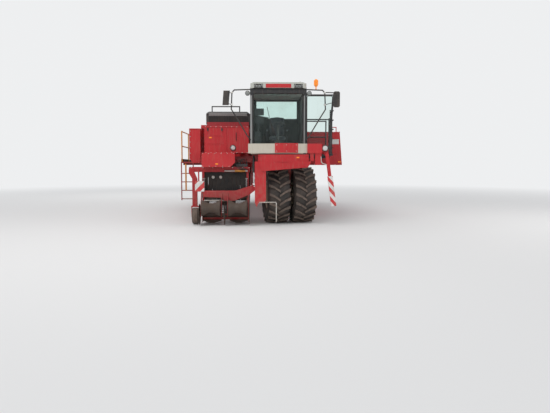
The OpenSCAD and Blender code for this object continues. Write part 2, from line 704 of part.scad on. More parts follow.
// Folding ladder, standing up as the deck's gate
module cab_ladder() {
    color(black) {
        for (y = [ladder_y0, ladder_y1 - 30])
            block([ladder_x - 15, y, ladder_z - 14], [ladder_x + 15, y + 30, floor_z + 1350]);
        for (z = [200 : 270 : 1290])
            block([ladder_x - 15, ladder_y0 + 20, floor_z + z], [ladder_x + 55, ladder_y1 - 20, floor_z + z + 25]);
        drum_y(ladder_y0 - 30, ladder_y1 + 30, 12, ladder_x, ladder_z);
    }
}

// Hollow housing over the intake, open below and behind, on four feet
module front_housing() {
    x0 = channel_x0 + 80;
    x1 = channel_x1 - 15;
    color(red) {
        difference() {
            block([x0, housing_y0, housing_z0], [x1, -2980, housing_z1]);
            block([x0 + sheet, housing_y0 + sheet, housing_z0 - 10], [x1 - sheet, -2900, housing_z1 - sheet]);
        }
        for (x = [x0 + 120, x1 - 105])
            block([x, -4110, cross_top], [x + 80, -4030, housing_z0 + 90]);
        for (x = [x0 + 120, x1 - 105])
            block([x, -2790, cross_top], [x + 80, -2710, housing_z0 + 90]);
        block([x0 + 1, -4110, housing_z0], [x1 - 1, -4080, housing_z0 + 90]);
        block([x0 + 1, -3010, housing_z0], [x1 - 1, -2980, housing_z0 + 90]);
        for (x = [x0 + 120, x1 - 105])
            block([x, -3010, housing_z0 + 10], [x + 80, -2710, housing_z0 + 90]);
    }
}

// Red box over the digging rollers, with its lower inner corner cut off
module intake_cover() {
    x0 = -1477;
    x1 = -585;
    y0 = -4660;
    y1 = -4470;
    z0 = 1566;
    z1 = housing_z0 - fit;
    color(red) {
        along_y(y0, y0 + sheet) polygon([[x0, z0], [x1 - 120, z0], [x1, z0 + 120], [x1, z1], [x0, z1]]);
        block([x0, y0, z1 - sheet], [x1, housing_y0 + 60, z1]);
        block([x0, y0, z0], [x0 + sheet, y1, z1]);
        block([x1 - sheet, y0, z0 + 120], [x1, y1, z1]);
        block([x0, y0, z0], [x1 - 120, y1, z0 + sheet]);
    }
}

// Tall box beside the front housing and the skin of the machine's right side behind it
module side_housing() {
    x0 = side_rail_x - 120;
    x1 = side_rail_x + 190;
    y0 = crossmembers[0][0] - 22;
    top = housing_z1 - 50;
    skin = side_rail_x + 50;
    color(red) {
        difference() {
            block([x0, y0, cross_top + fit], [x1, -2700, top]);
            block([x0 + sheet, y0 + sheet, cross_top - 10], [x1 - sheet, -2600, top - sheet]);
        }
        along_y(y0, y0 + sheet) polygon([[x0 + 1, cross_top + 20], [x1 - 1, cross_top + 20], [x1 - 1, 1680],
            [x0 + 90, 1680], [x0 + 1, 1790]]);
        along_x(skin, skin + sheet) polygon([[-2760, cross_top + fit], [1420, cross_top + fit],
            [1900, 2080], [1900, table_z - 40], [-2760, table_z - 40]]);
        for (y = [-2750, -700, 1300])
            block([skin, y, table_z - 100], [table_x0 + 20, y + 60, table_z - fit]);
    }
}

// Cross conveyor that carries the crop from the picking table into the bunker
module fill_belt() {
    x1 = 350;
    z0 = table_z;
    z1 = 3210;
    a = [table_x0 + 90, z0 + 90];
    b = [x1 - 80, z0 + 90];
    color(black) {
        for (y = [fill_y0, fill_y1 - sheet]) difference() {
            along_y(y, y + sheet) polygon([[table_x0, z0], [x1, z0], [x1, z0 + 210], [table_x1, z1 - 60], [table_x1 - 80, z1],
                [table_x0 + 80, z1], [table_x0, z1 - 60]]);
            if (y > fill_y0) block([table_x0 + 60, y - 1, z0 + 150], [table_x1 - 60, y + sheet + 1, z1 - 130]);
        }
        along_y(fill_y0 + sheet + 3, fill_y1 - sheet - 3) belt_ring(a, b, 50, 10);
        for (p = [a, b]) drum_y(fill_y0 + sheet - 1, fill_y1 - sheet + 1, 45.5, p.x, p.y);
        // Roller across the mouth and the hoop over it
        drum(table_x0 + 20, table_x1 - 20, 45, fill_y0 + 30, z1 - 70);
        tube([[table_x0 + 180, fill_y0 + 6, z1 - 10], [table_x0 + 180, fill_y0 + 6, z1 + 150],
              [table_x1 - 300, fill_y0 + 6, z1 + 150], [table_x1 - 300, fill_y0 + 6, z1 - 10]], 34);
    }
}

// Picking table: two side walls, a belt on two drums and the legs on the frame
module picking_table() {
    y0 = fill_y1 + fit;
    y1 = 1450;
    a = [y0 + 60, table_z + 70];
    b = [y1 - 60, table_z + 70];
    color(black) {
        for (x = [table_x0, table_x1 - sheet])
            block([x, y0, table_z], [x + sheet, y1, 3060]);
        along_x(table_x0 + sheet + 3, table_x1 - sheet - 3) belt_ring(a, b, 46, 10);
        for (p = [a, b]) drum(table_x0 + sheet - 1, table_x1 - sheet + 1, 41.5, p.x, p.y);
        for (y = [-2390, -900, 1200]) {
            block([table_x1 - 80, y, cross_top], [table_x1, y + 80, table_z + 2]);
            block([table_x0, y, table_z - 60], [table_x1, y + 60, table_z + 1]);
        }
        block([table_x1 - 80, -2705, cross_top], [table_x1, -2310, cross_top + 80]);
    }
}

// Platform for the pickers on brackets off the side rail, with a ladder at its front
module side_deck() {
    color(black) {
        block([-deck_x, deck_y0, deck_z - 40], [side_rail_x - 150, deck_y0 + deck_l, deck_z]);
        for (y = [deck_y0 + 100, 300, 1200]) {
            block([-deck_x + 60, y, deck_z - 110], [side_rail_x - fit, y + 80, deck_z - 39]);
            block([side_rail_x - 60, y, deck_z - 110], [side_rail_x - fit, y + 80, cross_z + 60]);
        }
        for (x = [-deck_x, -deck_x + 400])
            block([x, deck_y0 - 60, 420], [x + 30, deck_y0 + 1, deck_z]);
        for (z = [450 : 290 : 1400])
            block([-deck_x + 10, deck_y0 - 60, z], [-deck_x + 420, deck_y0 - 1, z + 30]);
    }
}

// Hand rails round the platform
module deck_rails() {
    y1 = deck_y0 + deck_l;
    x0 = -deck_x + 30;
    x1 = side_rail_x - 190;
    color(amber) {
        for (p = [[x0, deck_y0 + 30], [x0, deck_y0 + deck_l / 2], [x0, y1 - 30], [x1, y1 - 30]])
            translate([p.x, p.y, deck_z + fit]) cylinder(h = 1050, d = 42);
        for (z = [deck_z + 530, deck_z + 1030]) {
            bar([x0, deck_y0 + 30, z], [x0, y1 - 30, z], 40);
            bar([x0, y1 - 30, z], [x1, y1 - 30, z], 40);
        }
    }
}

// Elevator from the sieving channel up to the picking table: side plates, covers and flights
module elevator() {
    x0 = -700;
    x1 = channel_x1 - sheet - 10;
    path = [[1160, 960], [1700, 960], [2120, 1500], [2120, 3250], [1950, 3420], [1300, 3420], [1260, 3330],
            [1260, 3120], [1640, 3120], [1640, 1560], [1160, 1180]];
    back = [[1160, 960], [1700, 960], [2120, 1500], [2120, 3250], [1950, 3420], [1300, 3420], [1305, 3408],
            [1945, 3408], [2108, 3245], [2108, 1504], [1694, 972], [1160, 972]];
    color(red) {
        for (x = [x0, x1 - sheet])
            along_x(x, x + sheet) polygon(path);
        along_x(x0 + sheet - 1, x1 - sheet + 1) polygon(back);
        block([x0 + sheet - 1, 1640, 1560], [x1 - sheet + 1, 1652, 3120]);
        for (z = [1650 : 260 : 3200])
            block([x0 + sheet - 1, 1700, z], [x1 - sheet + 1, 2060, z + 14]);
        block([x1 - sheet, 1700, cross_z], [beam_in - fit, 1790, cross_top]);
    }
}

second_a = [-1050, 1020];
second_b = [940, 1330];

// Second web and the cleaning rollers behind it
module second_web() {
    x0 = channel_x0 + sheet;
    x1 = channel_x1 - sheet;
    color(soil_steel) {
        rod_web(second_a, second_b, web_r, x0 + 20, x1 - 20);
        for (p = [second_a, second_b])
            drum(x0 + fit, x1 - fit, web_r - 5, p.x, p.y);
        for (y = [1090, 1200, 1310])
            drum(x0 + fit, x1 - fit, 50, y, 1390);
    }
}

// Side walls of the sieving channel, hung from the crossmembers, with the digger's bearings
module channel_walls() {
    color(red) difference() {
        for (x = [channel_x0, channel_x1 - sheet])
            along_x(x, x + sheet) polygon([[-1540, 1150], [-1250, 900], [1430, 900], [1430, cross_z - fit],
                [-900, cross_z - fit], [-1540, 1430]]);
        drum(channel_x0 - 10, channel_x1 + 10, 40.2, digger_pivot.x, digger_pivot.y);
    }
}

// Engine hood with louvre slots in both sides and behind, and a chamfered top
module engine_hood() {
    y0 = hood_y0;
    x0 = -1150;
    x1 = 1250;
    z0 = beam_top + fit;
    color(red) difference() {
        along_y(y0, rear_y) polygon([[x0, z0], [x1, z0], [x1, hood_top - 120], [x1 - 120, hood_top],
            [x0 + 120, hood_top], [x0, hood_top - 120]]);
        along_y(y0 + sheet, rear_y - sheet) polygon([[x0 + sheet, z0 - 10], [x1 - sheet, z0 - 10],
            [x1 - sheet, hood_top - 125], [x1 - 125, hood_top - sheet], [x0 + 125, hood_top - sheet],
            [x0 + sheet, hood_top - 125]]);
        for (x = [x0 - 10, x1 - 15], z = [2150 : 60 : 2600])
            block([x, hood_y0 + 550, z], [x + 25, engine_y1, z + 26]);
        for (z = [2050 : 60 : 2700])
            block([-500, rear_y - 20, z], [600, rear_y + 10, z + 30]);
    }
}

// Plain block of the engine's size, on two bearers across the beams
module engine() {
    color(steel) {
        block([20, engine_y0, beam_top + 90], [660, engine_y1, 2720]);
        for (y = [engine_y0 + 100, engine_y1 - 250]) block([beam_in, y, beam_top + fit], [beam_out, y + 100, beam_top + 92]);
    }
}

// Fuel tank on the left and oil tank on the right, hung at the rear of the beams
module tanks() {
    color(black) {
        along_y(tank_y0, tank_y1) chamfered([beam_out + fit, 1120], [1500, 1800], 60);
        along_y(tank_y0, tank_y1) chamfered([-1300, 1120], [beam_in - fit, 1800], 60);
    }
}

// Silencer and stack on top of the hood
module exhaust() {
    color(steel) {
        translate([-500, hood_y0 + 350, hood_top + fit]) cylinder(h = 480, d = 190);
        translate([-500, hood_y0 + 350, hood_top + 470]) cylinder(h = 330, d = 100);
    }
}

// Arms that carry the rollers and coulters: place across the machine
arm_t = 14;
arm_xs = [channel_x0 + 20, channel_x - 90, channel_x + 76, channel_x1 - 34];

// Side plates, cross tube, uprights and roller arms of the digging unit
module digger_frame() {
    outer = side_rail_x - 105;
    color(red) difference() {
        union() {
            for (x = [channel_x0 + 20, channel_x1 - 20 - sheet])
                along_x(x, x + sheet) polygon([[-4450, 60], [-4450, 330], [-4400, 520], [-4240, 520], [-1500, 1440],
                    [-1300, 1400], [-1290, 1200], [-1390, 1140], [-4250, 60]]);
            drum(channel_x0, channel_x1, 40, digger_pivot.x, digger_pivot.y);
            share_place() block([channel_x0 + 20, -30, 12 + fit], [channel_x1 - 20, 20, 50]);
            // Upper cross tube on its two uprights
            block([outer, -4400, frame_z - 70], [channel_x1 + 10, -4280, frame_z + 70]);
            for (x = [channel_x0 + 20, channel_x1 - 80]) {
                block([x, -4400, 440], [x + 60, -4280, frame_z]);
                block([x, -4600, 850], [x + 60, -4390, 930]);
            }
            drum(channel_x0 + 20, channel_x1 - 20, 40, -4600, 890);
            for (x = arm_xs)
                along_x(x, x + arm_t) polygon([[-4560, 930], [-4640, 930], [-4850, 490], [-4850, 260],
                    [-4820, 240], [-4760, 260], [-4700, 500], [-4560, 760]]);
            // Plate beam with the ears of the lift cylinder
            along_y(-4655, -4630) polygon([[channel_x0 + 60, 900], [-940, 905], [-560, 935], [-123, 1076], [-43, 1030],
                [-43, 940], [-180, 830], [-520, 690], [-600, 655], [-880, 655], [-940, 740], [channel_x0 + 60, 760]]);
            for (x = [lift_x - 50, lift_x + 30])
                along_x(x, x + 20) polygon([[-4640, 950], [-4640, 1060], [lift_foot.x - 35, lift_foot.y + 30],
                    [lift_foot.x + 35, lift_foot.y + 30], [lift_foot.x + 35, lift_foot.y - 60], [-4600, 950]]);
            block([channel_x1 - 30, -4640, 950], [lift_x + 50, -4600, 1000]);
            drum(lift_x - 52, lift_x + 52, 18, lift_foot.x, lift_foot.y);
            // Light tubes across the outer row and the cylinder above them
            for (z = [660, 800])
                drum(channel_x0 + 60, -700, 18, -4620, z);
            for (x = [channel_x0 + 60, -730])
                block([x, -4650, 650], [x + 30, -4600, 900]);
            drum(-886, -600, 20, -4425, 1460);
            drum(-602, -310, 30, -4425, 1460);
            drum(-312, -230, 20, -4425, 1460);
            for (x = [-886, -250]) block([x, -4440, 1440], [x + 20, -4390, 1480]);
            // Leg, fork and axle of the depth wheel
            crown = depth_z + depth_wheel_d / 2 + 25;
            along_y(-4440, -4399) polygon([[outer, frame_z], [outer + 120, frame_z], [depth_x + 45, 1250],
                [depth_x + 45, crown], [depth_x - 95, crown], [depth_x - 95, 1250], [outer, 1400]]);
            block([depth_x - 116, -4520, crown], [depth_x + 112, -4399, crown + 30]);
            for (x = [depth_x - 116, depth_x + 96])
                along_x(x, x + 16) polygon([[-4520, crown + 20], [-4399, crown + 20], [depth_y + 35, depth_z - 35],
                    [depth_y - 35, depth_z - 35]]);
            drum(depth_x - 116, depth_x + 112, 25, depth_y, depth_z);
            // Arm and plate of the square board
            block([-1580, -4640, 1440], [-1545, -4390, 1470]);
            block([-1580, -4640, 1180], [-1545, -4622, 1450]);
            block([-1665, -4652, 904], [-1410, -4640, 1188]);
            // Stubs of the coulters
            drum(channel_x0 - 18, channel_x0 + 30, 15, roller_y, coulter_z);
            drum(channel_x - 8, channel_x + 80, 15, roller_y, coulter_z);
            drum(channel_x1 - 30, channel_x1 + 8, 15, roller_y, coulter_z);
        }
        for (x = arm_xs) drum(x - 1, x + arm_t + 1, 18.2, roller_y, roller_z);
    }
}

// Frame of the shares: +Y up the slope, on the edge behind them
module share_place() {
    translate([0, -4375, 125]) rotate([25, 0, 0]) children();
}

// Two pointed share blades, one for each row, on the bar before the web
module shares() {
    color(soil_steel) share_place() for (row = [-1, 1])
        translate([channel_x + row * row_pitch / 2, 0, 0]) linear_extrude(12)
            polygon([[-share_w / 2, 20], [share_w / 2, 20], [share_w / 2, -70], [60, -200], [-60, -200], [-share_w / 2, -70]]);
}

module first_web() {
    x0 = channel_x0 + 20 + sheet;
    x1 = channel_x1 - 20 - sheet;
    color(soil_steel) {
        rod_web(web_front, digger_pivot, web_r, x0 + 10, x1 - 10);
        difference() {
            for (p = [web_front, digger_pivot]) drum(x0 + fit, x1 - fit, web_r - 5, p.x, p.y);
            drum(x0 - 20, x1 + 20, 40.3, digger_pivot.x, digger_pivot.y);
        }
    }
}

// Slit rubber curtain behind the front tubes
module intake_curtain() {
    color(rubber) difference() {
        block([channel_x0 + 80 + fit, -4310, 640], [channel_x1 - 80 - fit, -4300, frame_z - 70 - fit]);
        for (x = [channel_x0 + 180 : 110 : channel_x1 - 160])
            block([x, -4320, 600], [x + 6, -4290, frame_z - 200]);
    }
}

// Waisted roller that runs on one ridge
module ridge_roller(x0, x1) {
    half = (x1 - x0) / 2 - 14;
    r = roller_d / 2;
    color(soil_steel) translate([(x0 + x1) / 2, roller_y, roller_z]) {
        rotate([0, 90, 0]) rotate_extrude() polygon([[30, -half], [r - 30, -half], [r, -half + 12], [r, -half + 30],
            [r - 75, -70], [r - 80, 0], [r - 75, 70], [r, half - 30], [r, half - 12], [r - 30, half], [30, half]]);
        drum(-half - 26, half + 26, 18);
        for (s = [-1, 1]) drum(s * (half - 8) - 8, s * (half - 8) + 8, 60);
    }
}

// Disc that cuts the haulm beside a row
module coulter(x) {
    color(soil_steel) difference() {
        union() {
            drum(x - 3, x + 3, coulter_d / 2, roller_y, coulter_z);
            drum(x - 12, x + 12, 55, roller_y, coulter_z);
        }
        drum(x - 20, x + 20, 15.2, roller_y, coulter_z);
    }
}

module depth_wheel() {
    r = depth_wheel_d / 2;
    color(rubber) translate([depth_x, depth_y, depth_z]) rotate([0, 90, 0]) rotate_extrude() polygon([
        [25.2, -88], [60, -88], [70, -40], [r - 70, -40], [r - 60, -80], [r - 15, -85], [r, -55], [r, 55], [r - 15, 85],
        [r - 60, 80], [r - 70, -20], [70, -20], [60, 70], [25.2, 70]]);
}

// Frame of the lift cylinder: origin on its upper pin, -Z towards the lower pin
module lift_place() {
    translate([lift_x, lift_top.x, lift_top.y]) rotate([lift_dir, 0, 0]) children();
}

module lift_barrel() {
    color(black) lift_place() difference() {
        union() {
            drum(-52, 52, 18);
            drum(-28, 28, 27);
            translate([0, 0, -80]) cylinder(h = 70, d = 50);
            translate([0, 0, -435]) cylinder(h = 360, d = 78);
        }
        translate([0, 0, -436]) cylinder(h = 341, d = 46);
    }
}

module lift_rod() {
    color(steel) lift_place() difference() {
        union() {
            translate([0, 0, -lift_len + 20]) cylinder(h = lift_len - 415, d = 40);
            drum(fit - 30, 30 - fit, 34, 0, -lift_len);
        }
        drum(-40, 40, 18 + lift_play, 0, -lift_len);
    }
}

// Section of the bunker's floor, from its hinge outward
bunker_floor = [[bunker_x - 18, bunker_z - 25], [760, bunker_z - 25], [1000, end_z - 10], [end_x - 30, end_z - 10]];

// Fixed part of the bunker: inner wall, sloped floor with slats, two end walls and hinges
module bunker() {
    x0 = bunker_x - 18;
    color(red) difference() {
        union() {
            along_y(bunker_y0, bunker_y1) polygon(concat(
                [[x0, bunker_top]], bunker_floor,
                [for (i = [len(bunker_floor) - 1 : -1 : 1]) bunker_floor[i] + [0, 30]],
                [[x0 + sheet, bunker_z + 5], [x0 + sheet, bunker_top]]));
            for (y = [bunker_y0, bunker_y1 - sheet])
                along_y(y, y + sheet) polygon(concat([[x0, bunker_top]], bunker_floor, [[end_x - 30, bunker_top]]));
            for (y = [bunker_y0 - 60, bunker_y1 - 1])
                drum_y(y, y + 61, 20, bunker_x, bunker_z);
            for (x = [180 : 150 : 700])
                block([x, bunker_y0 + 40, bunker_z + 4], [x + 30, bunker_y1 - 40, bunker_z + 22]);
            // Knuckles of the end part's hinge
            for (y = end_hinges) {
                drum_y(y, y + 120, 26, end_pin.x, end_pin.y);
                block([end_x - 60, y, end_z - 45], [end_x - 20, y + 120, end_z - 5]);
            }
            // Ears of the tipping cylinders
            for (y = tip_ys, s = [-37, 17])
                along_y(y + s, y + s + 20) polygon([[tip_head.x - 60, end_z - 9], [tip_head.x + 50, end_z - 9],
                    [tip_head.x + 32, tip_head.y - 38], [tip_head.x - 32, tip_head.y - 38]]);
        }
        for (y = end_hinges) drum_y(y - 1, y + 121, 12.2, end_pin.x, end_pin.y);
        for (y = tip_ys) drum_y(y - 38, y + 38, tip_pin_r + tip_play, tip_head.x, tip_head.y);
    }
}

// Folding outer part of the bunker: floor, two end walls, hinges and hoop
module bunker_end() {
    y0 = bunker_y0 - 42;
    y1 = bunker_y1 + 42;
    color(red) {
        for (y = [y0, y1 - sheet])
            along_y(y, y + sheet) polygon([[end_x + 20, 1620], [deck_x, 1620], [deck_x, 1680], [2544, bunker_top],
                [end_x + 20, bunker_top]]);
        along_y(y0 + 1, y1 - 1) polygon([[end_x + 40, 1620], [deck_x, 1620], [deck_x, 1680],
            [2544, bunker_top], [2544 - sheet, bunker_top], [deck_x - sheet, 1680], [deck_x - sheet - 10, 1665],
            [end_x + 40, 1665]]);
        for (i = [0 : 5])
            along_y(y0 + 120 + i * (bunker_l - 320) / 5, y0 + 180 + i * (bunker_l - 320) / 5) polygon([
                [deck_x - 8, 1690], [deck_x, 1690], [2564, bunker_top - 40], [2540, bunker_top - 40]]);
        for (y = end_hinges) {
            for (s = [-52, 122]) {
                drum_y(y + s, y + s + 50, 26, end_pin.x, end_pin.y);
                block([end_x, y + s, end_z - 52], [end_x + 45, y + s + 50, end_z - 26]);
            }
            drum_y(y - 52, y + 172, 12, end_pin.x, end_pin.y);
        }
        tube([[2255, y0 + 20, bunker_top - 20], [2255, y0 + 20, bunker_top + 140], [2435, y0 + 20, bunker_top + 140],
              [2435, y0 + 20, bunker_top - 20]], 26);
        block([2225, y0 + 2, bunker_top - 60], [2465, y0 + 34, bunker_top - 20]);
    }
}

// Frame of a tipping cylinder: origin on its foot, +X towards its head
module tip_place(y) {
    translate([tip_foot.x, y, tip_foot.y]) rotate([0, -tip_dir, 0]) children();
}

module tip_barrels() {
    color(black) for (y = tip_ys) tip_place(y) difference() {
        union() {
            drum_y(-38, 38, 20);
            drum_y(-16, 16, 34);
            drum(20, 75, 16);
            drum(65, 520, 36);
        }
        drum(85, 521, 19);
    }
}

module tip_rods() {
    color(steel) for (y = tip_ys) tip_place(y) {
        drum(100, tip_len - 20, 15);
        drum_y(fit - 17, 17 - fit, 34, tip_len);
        drum_y(-38, 38, tip_pin_r, tip_len);
    }
}

// Outline of the open door in X and Z, smaller by an inset
module door_plan(inset) {
    polygon([[door_x + inset, door_z0 + inset], [door_x + door_w - door_rake - inset, door_z0 + inset],
        [door_x + door_w - inset, door_z1 - inset], [door_x + inset, door_z1 - inset]]);
}

// Door frame, swung open by a right angle, with its two hinges
module door_frame() {
    color(black) {
        along_y(hinge_y - 15, hinge_y + 15) difference() {
            door_plan(0);
            door_plan(38);
        }
        for (z = hinge_zs) difference() {
            union() {
                translate([hinge_x, hinge_y, z]) cylinder(h = 80, d = 28);
                block([hinge_x, hinge_y - 12, z], [door_x + 20, hinge_y + 12, z + 80]);
            }
            translate([hinge_x, hinge_y, z - 1]) cylinder(h = 82, d = 12.4);
        }
    }
}

module door_glass() {
    color(clear) along_y(hinge_y - 4, hinge_y - 4 + glass_t) door_plan(38 + fit);
}

chassis();
rear_axle();
cab_frame();
cab_glass();
cab_roof();
seat();
controls();
bumper();
red_front_panels();
fender();
lamps();
mirrors();
beacon();
width_board();
feeler_bar();
cab_deck();
front_housing();
intake_cover();
side_housing();
fill_belt();
picking_table();
side_deck();
deck_rails();
elevator();
second_web();
channel_walls();
engine_hood();
engine();
tanks();
exhaust();
steer_yoke();
front_tyres();
front_rims();
knuckle(-1);  // knuckle_right
knuckle(1);  // knuckle_left
rear_tyre(-1);  // rear_tyre_right
rear_rim(-1);  // rear_rim_right
rear_tyre(1);  // rear_tyre_left
rear_rim(1);  // rear_rim_left
digger_frame();
shares();
first_web();
intake_curtain();
ridge_roller(arm_xs[0] + arm_t, arm_xs[1]);  // ridge_roller_outer
ridge_roller(arm_xs[2] + arm_t, arm_xs[3]);  // ridge_roller_inner
coulter(channel_x0 - 8);  // coulter_outer
coulter(channel_x);  // coulter_middle
coulter(channel_x1 + 2);  // coulter_inner
depth_wheel();
lift_barrel();
lift_rod();
bunker();
bunker_end();
tip_barrels();
tip_rods();
door_frame();
door_glass();
cab_ladder();
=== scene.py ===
"""Dresses the potato harvester: its finishes, small fittings, lights and camera."""

import logging
import math
from collections.abc import Iterable, Sequence
from dataclasses import dataclass, field
from enum import Enum

import bmesh
import bpy
from mathutils import Matrix, Vector


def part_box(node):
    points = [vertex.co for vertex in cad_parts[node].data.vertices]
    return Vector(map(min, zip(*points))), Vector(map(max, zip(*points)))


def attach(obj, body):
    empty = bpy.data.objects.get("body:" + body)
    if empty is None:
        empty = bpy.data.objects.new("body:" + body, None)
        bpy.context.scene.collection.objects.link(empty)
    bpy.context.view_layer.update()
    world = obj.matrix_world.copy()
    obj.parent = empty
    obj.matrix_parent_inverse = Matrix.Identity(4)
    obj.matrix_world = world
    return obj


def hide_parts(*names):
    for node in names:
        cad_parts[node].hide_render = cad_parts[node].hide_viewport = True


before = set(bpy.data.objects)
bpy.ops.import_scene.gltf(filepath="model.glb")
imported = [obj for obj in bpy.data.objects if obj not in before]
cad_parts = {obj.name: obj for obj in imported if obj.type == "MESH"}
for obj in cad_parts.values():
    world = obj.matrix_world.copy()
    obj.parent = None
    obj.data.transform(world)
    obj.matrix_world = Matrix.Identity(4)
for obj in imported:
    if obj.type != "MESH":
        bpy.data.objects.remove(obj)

log = logging.getLogger("harvester")

Point = tuple[float, float, float]
Colour = tuple[float, float, float]
Outline = Sequence[tuple[float, float]]
Socket = bpy.types.NodeSocket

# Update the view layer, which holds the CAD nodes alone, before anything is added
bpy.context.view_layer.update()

# Directions: the machine's front faces -Y and its left side is at +X
TO_LEFT: Point = (1, 0, 0)
TO_RIGHT: Point = (-1, 0, 0)
TO_REAR: Point = (0, 1, 0)
TO_FRONT: Point = (0, -1, 0)
UP: Point = (0, 0, 1)

# Turn of the front wheels at rest, and their axle's direction
STEER = math.radians(8.2)
FRONT_AXLE: Point = (math.cos(STEER), math.sin(STEER), 0)

# Colours of dry soil and of the primer under chipped paint
SOIL: Colour = (0.30, 0.225, 0.165)
PRIMER: Colour = (0.22, 0.20, 0.19)

# Angles from which an edge is shaded sharp, and from which it is rounded
SHARP_FROM = math.radians(38)
ROUND_FROM = math.radians(40)

# Smallest radius of a turned solid, which closes its end without a pole
LEAST_RADIUS = 1e-4


class Body(str, Enum):
    """Moving bodies that the fittings ride on."""

    MACHINE = "machine"
    FRONT = "front_wheels"
    REAR_LEFT = "rear_wheel_left"
    REAR_RIGHT = "rear_wheel_right"
    DIGGER = "digger"
    ROLLER_OUTER = "ridge_roller_outer"
    ROLLER_INNER = "ridge_roller_inner"
    BUNKER = "bunker"
    BUNKER_END = "bunker_end"
    DOOR = "cab_door"


class Stud(Enum):
    """Small shapes that are set out in rows: number of sides of each, with 2 for a straight bar."""

    BOLT = 6
    RIVET = 10
    LOZENGE = 4
    BAR = 2


class Axis(Enum):
    """Axes that an outline is drawn out along: where its two values and its depth go."""

    X = (1, 2, 0)
    Y = (0, 2, 1)
    Z = (0, 1, 2)


class Slot(str, Enum):
    """Material slots of the record."""

    AMBER_PLASTIC = "amber_plastic"
    BARE_STEEL = "bare_steel"
    BLACK_PAINT = "black_paint"
    CREAM_PAINT = "cream_paint"
    LAMP_LENS = "lamp_lens"
    ORANGE_PAINT = "orange_paint"
    RED_PAINT = "red_paint"
    SEAT_FABRIC = "seat_fabric"
    SHEET_RUBBER = "sheet_rubber"
    TYRE_RUBBER = "tyre_rubber"
    WORN_STEEL = "worn_steel"


# Finishes


class Shading:
    """A material's node tree, with short calls that add and join its nodes."""

    def __init__(self, name: str) -> None:
        """Start a material that holds a shader and an output.

        Args:
            name: the material's name.
        """
        self.material = bpy.data.materials.new(name)
        self.material.use_nodes = True
        self.tree = self.material.node_tree
        self.tree.nodes.clear()
        self.output = self.tree.nodes.new("ShaderNodeOutputMaterial")
        self.shader = self.tree.nodes.new("ShaderNodeBsdfPrincipled")
        self.tree.links.new(self.shader.outputs["BSDF"], self.output.inputs["Surface"])
        self.place = self.tree.nodes.new("ShaderNodeTexCoord").outputs["Object"]

    def node(self, kind: str, values: dict[str | int, object], **settings: object) -> bpy.types.Node:
        """Add a node.

        Args:
            kind: the node's type.
            values: its inputs by name or number, each a value or a socket to join.
            settings: its own properties.

        Returns:
            The node.
        """
        made = self.tree.nodes.new(kind)
        for key, value in settings.items():
            setattr(made, key, value)
        for key, value in values.items():
            if isinstance(value, Socket):
                self.tree.links.new(value, made.inputs[key])
            else:
                made.inputs[key].default_value = value
        return made

    def math(self, what: str, a: float | Socket, b: float | Socket = 0.0) -> Socket:
        """Join two values by a sum, product or other operation."""
        return self.node("ShaderNodeMath", {0: a, 1: b}, operation=what).outputs[0]

    def span(self, value: Socket, low: float, high: float) -> Socket:
        """Give 0 to 1 as the value goes from low to high."""
        inputs = {"Value": value, "From Min": low, "From Max": high}
        return self.node("ShaderNodeMapRange", inputs, clamp=True).outputs[0]

    def mix(self, part: Socket, a: Colour | Socket, b: Colour | Socket) -> Socket:
        """Blend from colour a to colour b."""
        a, b = (c if isinstance(c, Socket) else (*c, 1.0) for c in (a, b))
        return self.node("ShaderNodeMix", {0: part, 6: a, 7: b}, data_type="RGBA").outputs[2]

    def noise(self, scale: float, detail: float = 4.0, stretch: Point = (1, 1, 1)) -> Socket:
        """Give a noise value over the object's own coordinates."""
        where = self.node("ShaderNodeMapping", {"Vector": self.place, "Scale": stretch}).outputs[0]
        return self.node("ShaderNodeTexNoise", {"Vector": where, "Scale": scale, "Detail": detail}).outputs[0]

    def vector(self, what: str, a: Socket, b: Point = (0, 0, 0), result: int = 0) -> Socket:
        """Join two vectors by an operation, and return its vector (0) or its value (1)."""
        return self.node("ShaderNodeVectorMath", {0: a, 1: b}, operation=what).outputs[result]

    def height(self) -> Socket:
        """Give the height above the ground."""
        return self.node("ShaderNodeSeparateXYZ", {0: self.place}).outputs["Z"]

    def bump(self, value: Socket, strength: float, distance: float) -> None:
        """Raise the surface by a value."""
        made = self.node("ShaderNodeBump", {"Height": value, "Strength": strength, "Distance": distance})
        self.tree.links.new(made.outputs[0], self.shader.inputs["Normal"])

    def set(self, **values: object) -> None:
        """Set or join the shader's inputs.

        Args:
            values: what each input gets, by its name with _ for a space.
        """
        for key, value in values.items():
            socket = self.shader.inputs[key.replace("_", " ")]
            if isinstance(value, Socket):
                self.tree.links.new(value, socket)
            elif isinstance(value, tuple) and len(value) == 3 and len(socket.default_value) == 4:
                socket.default_value = (*value, 1.0)
            else:
                socket.default_value = value


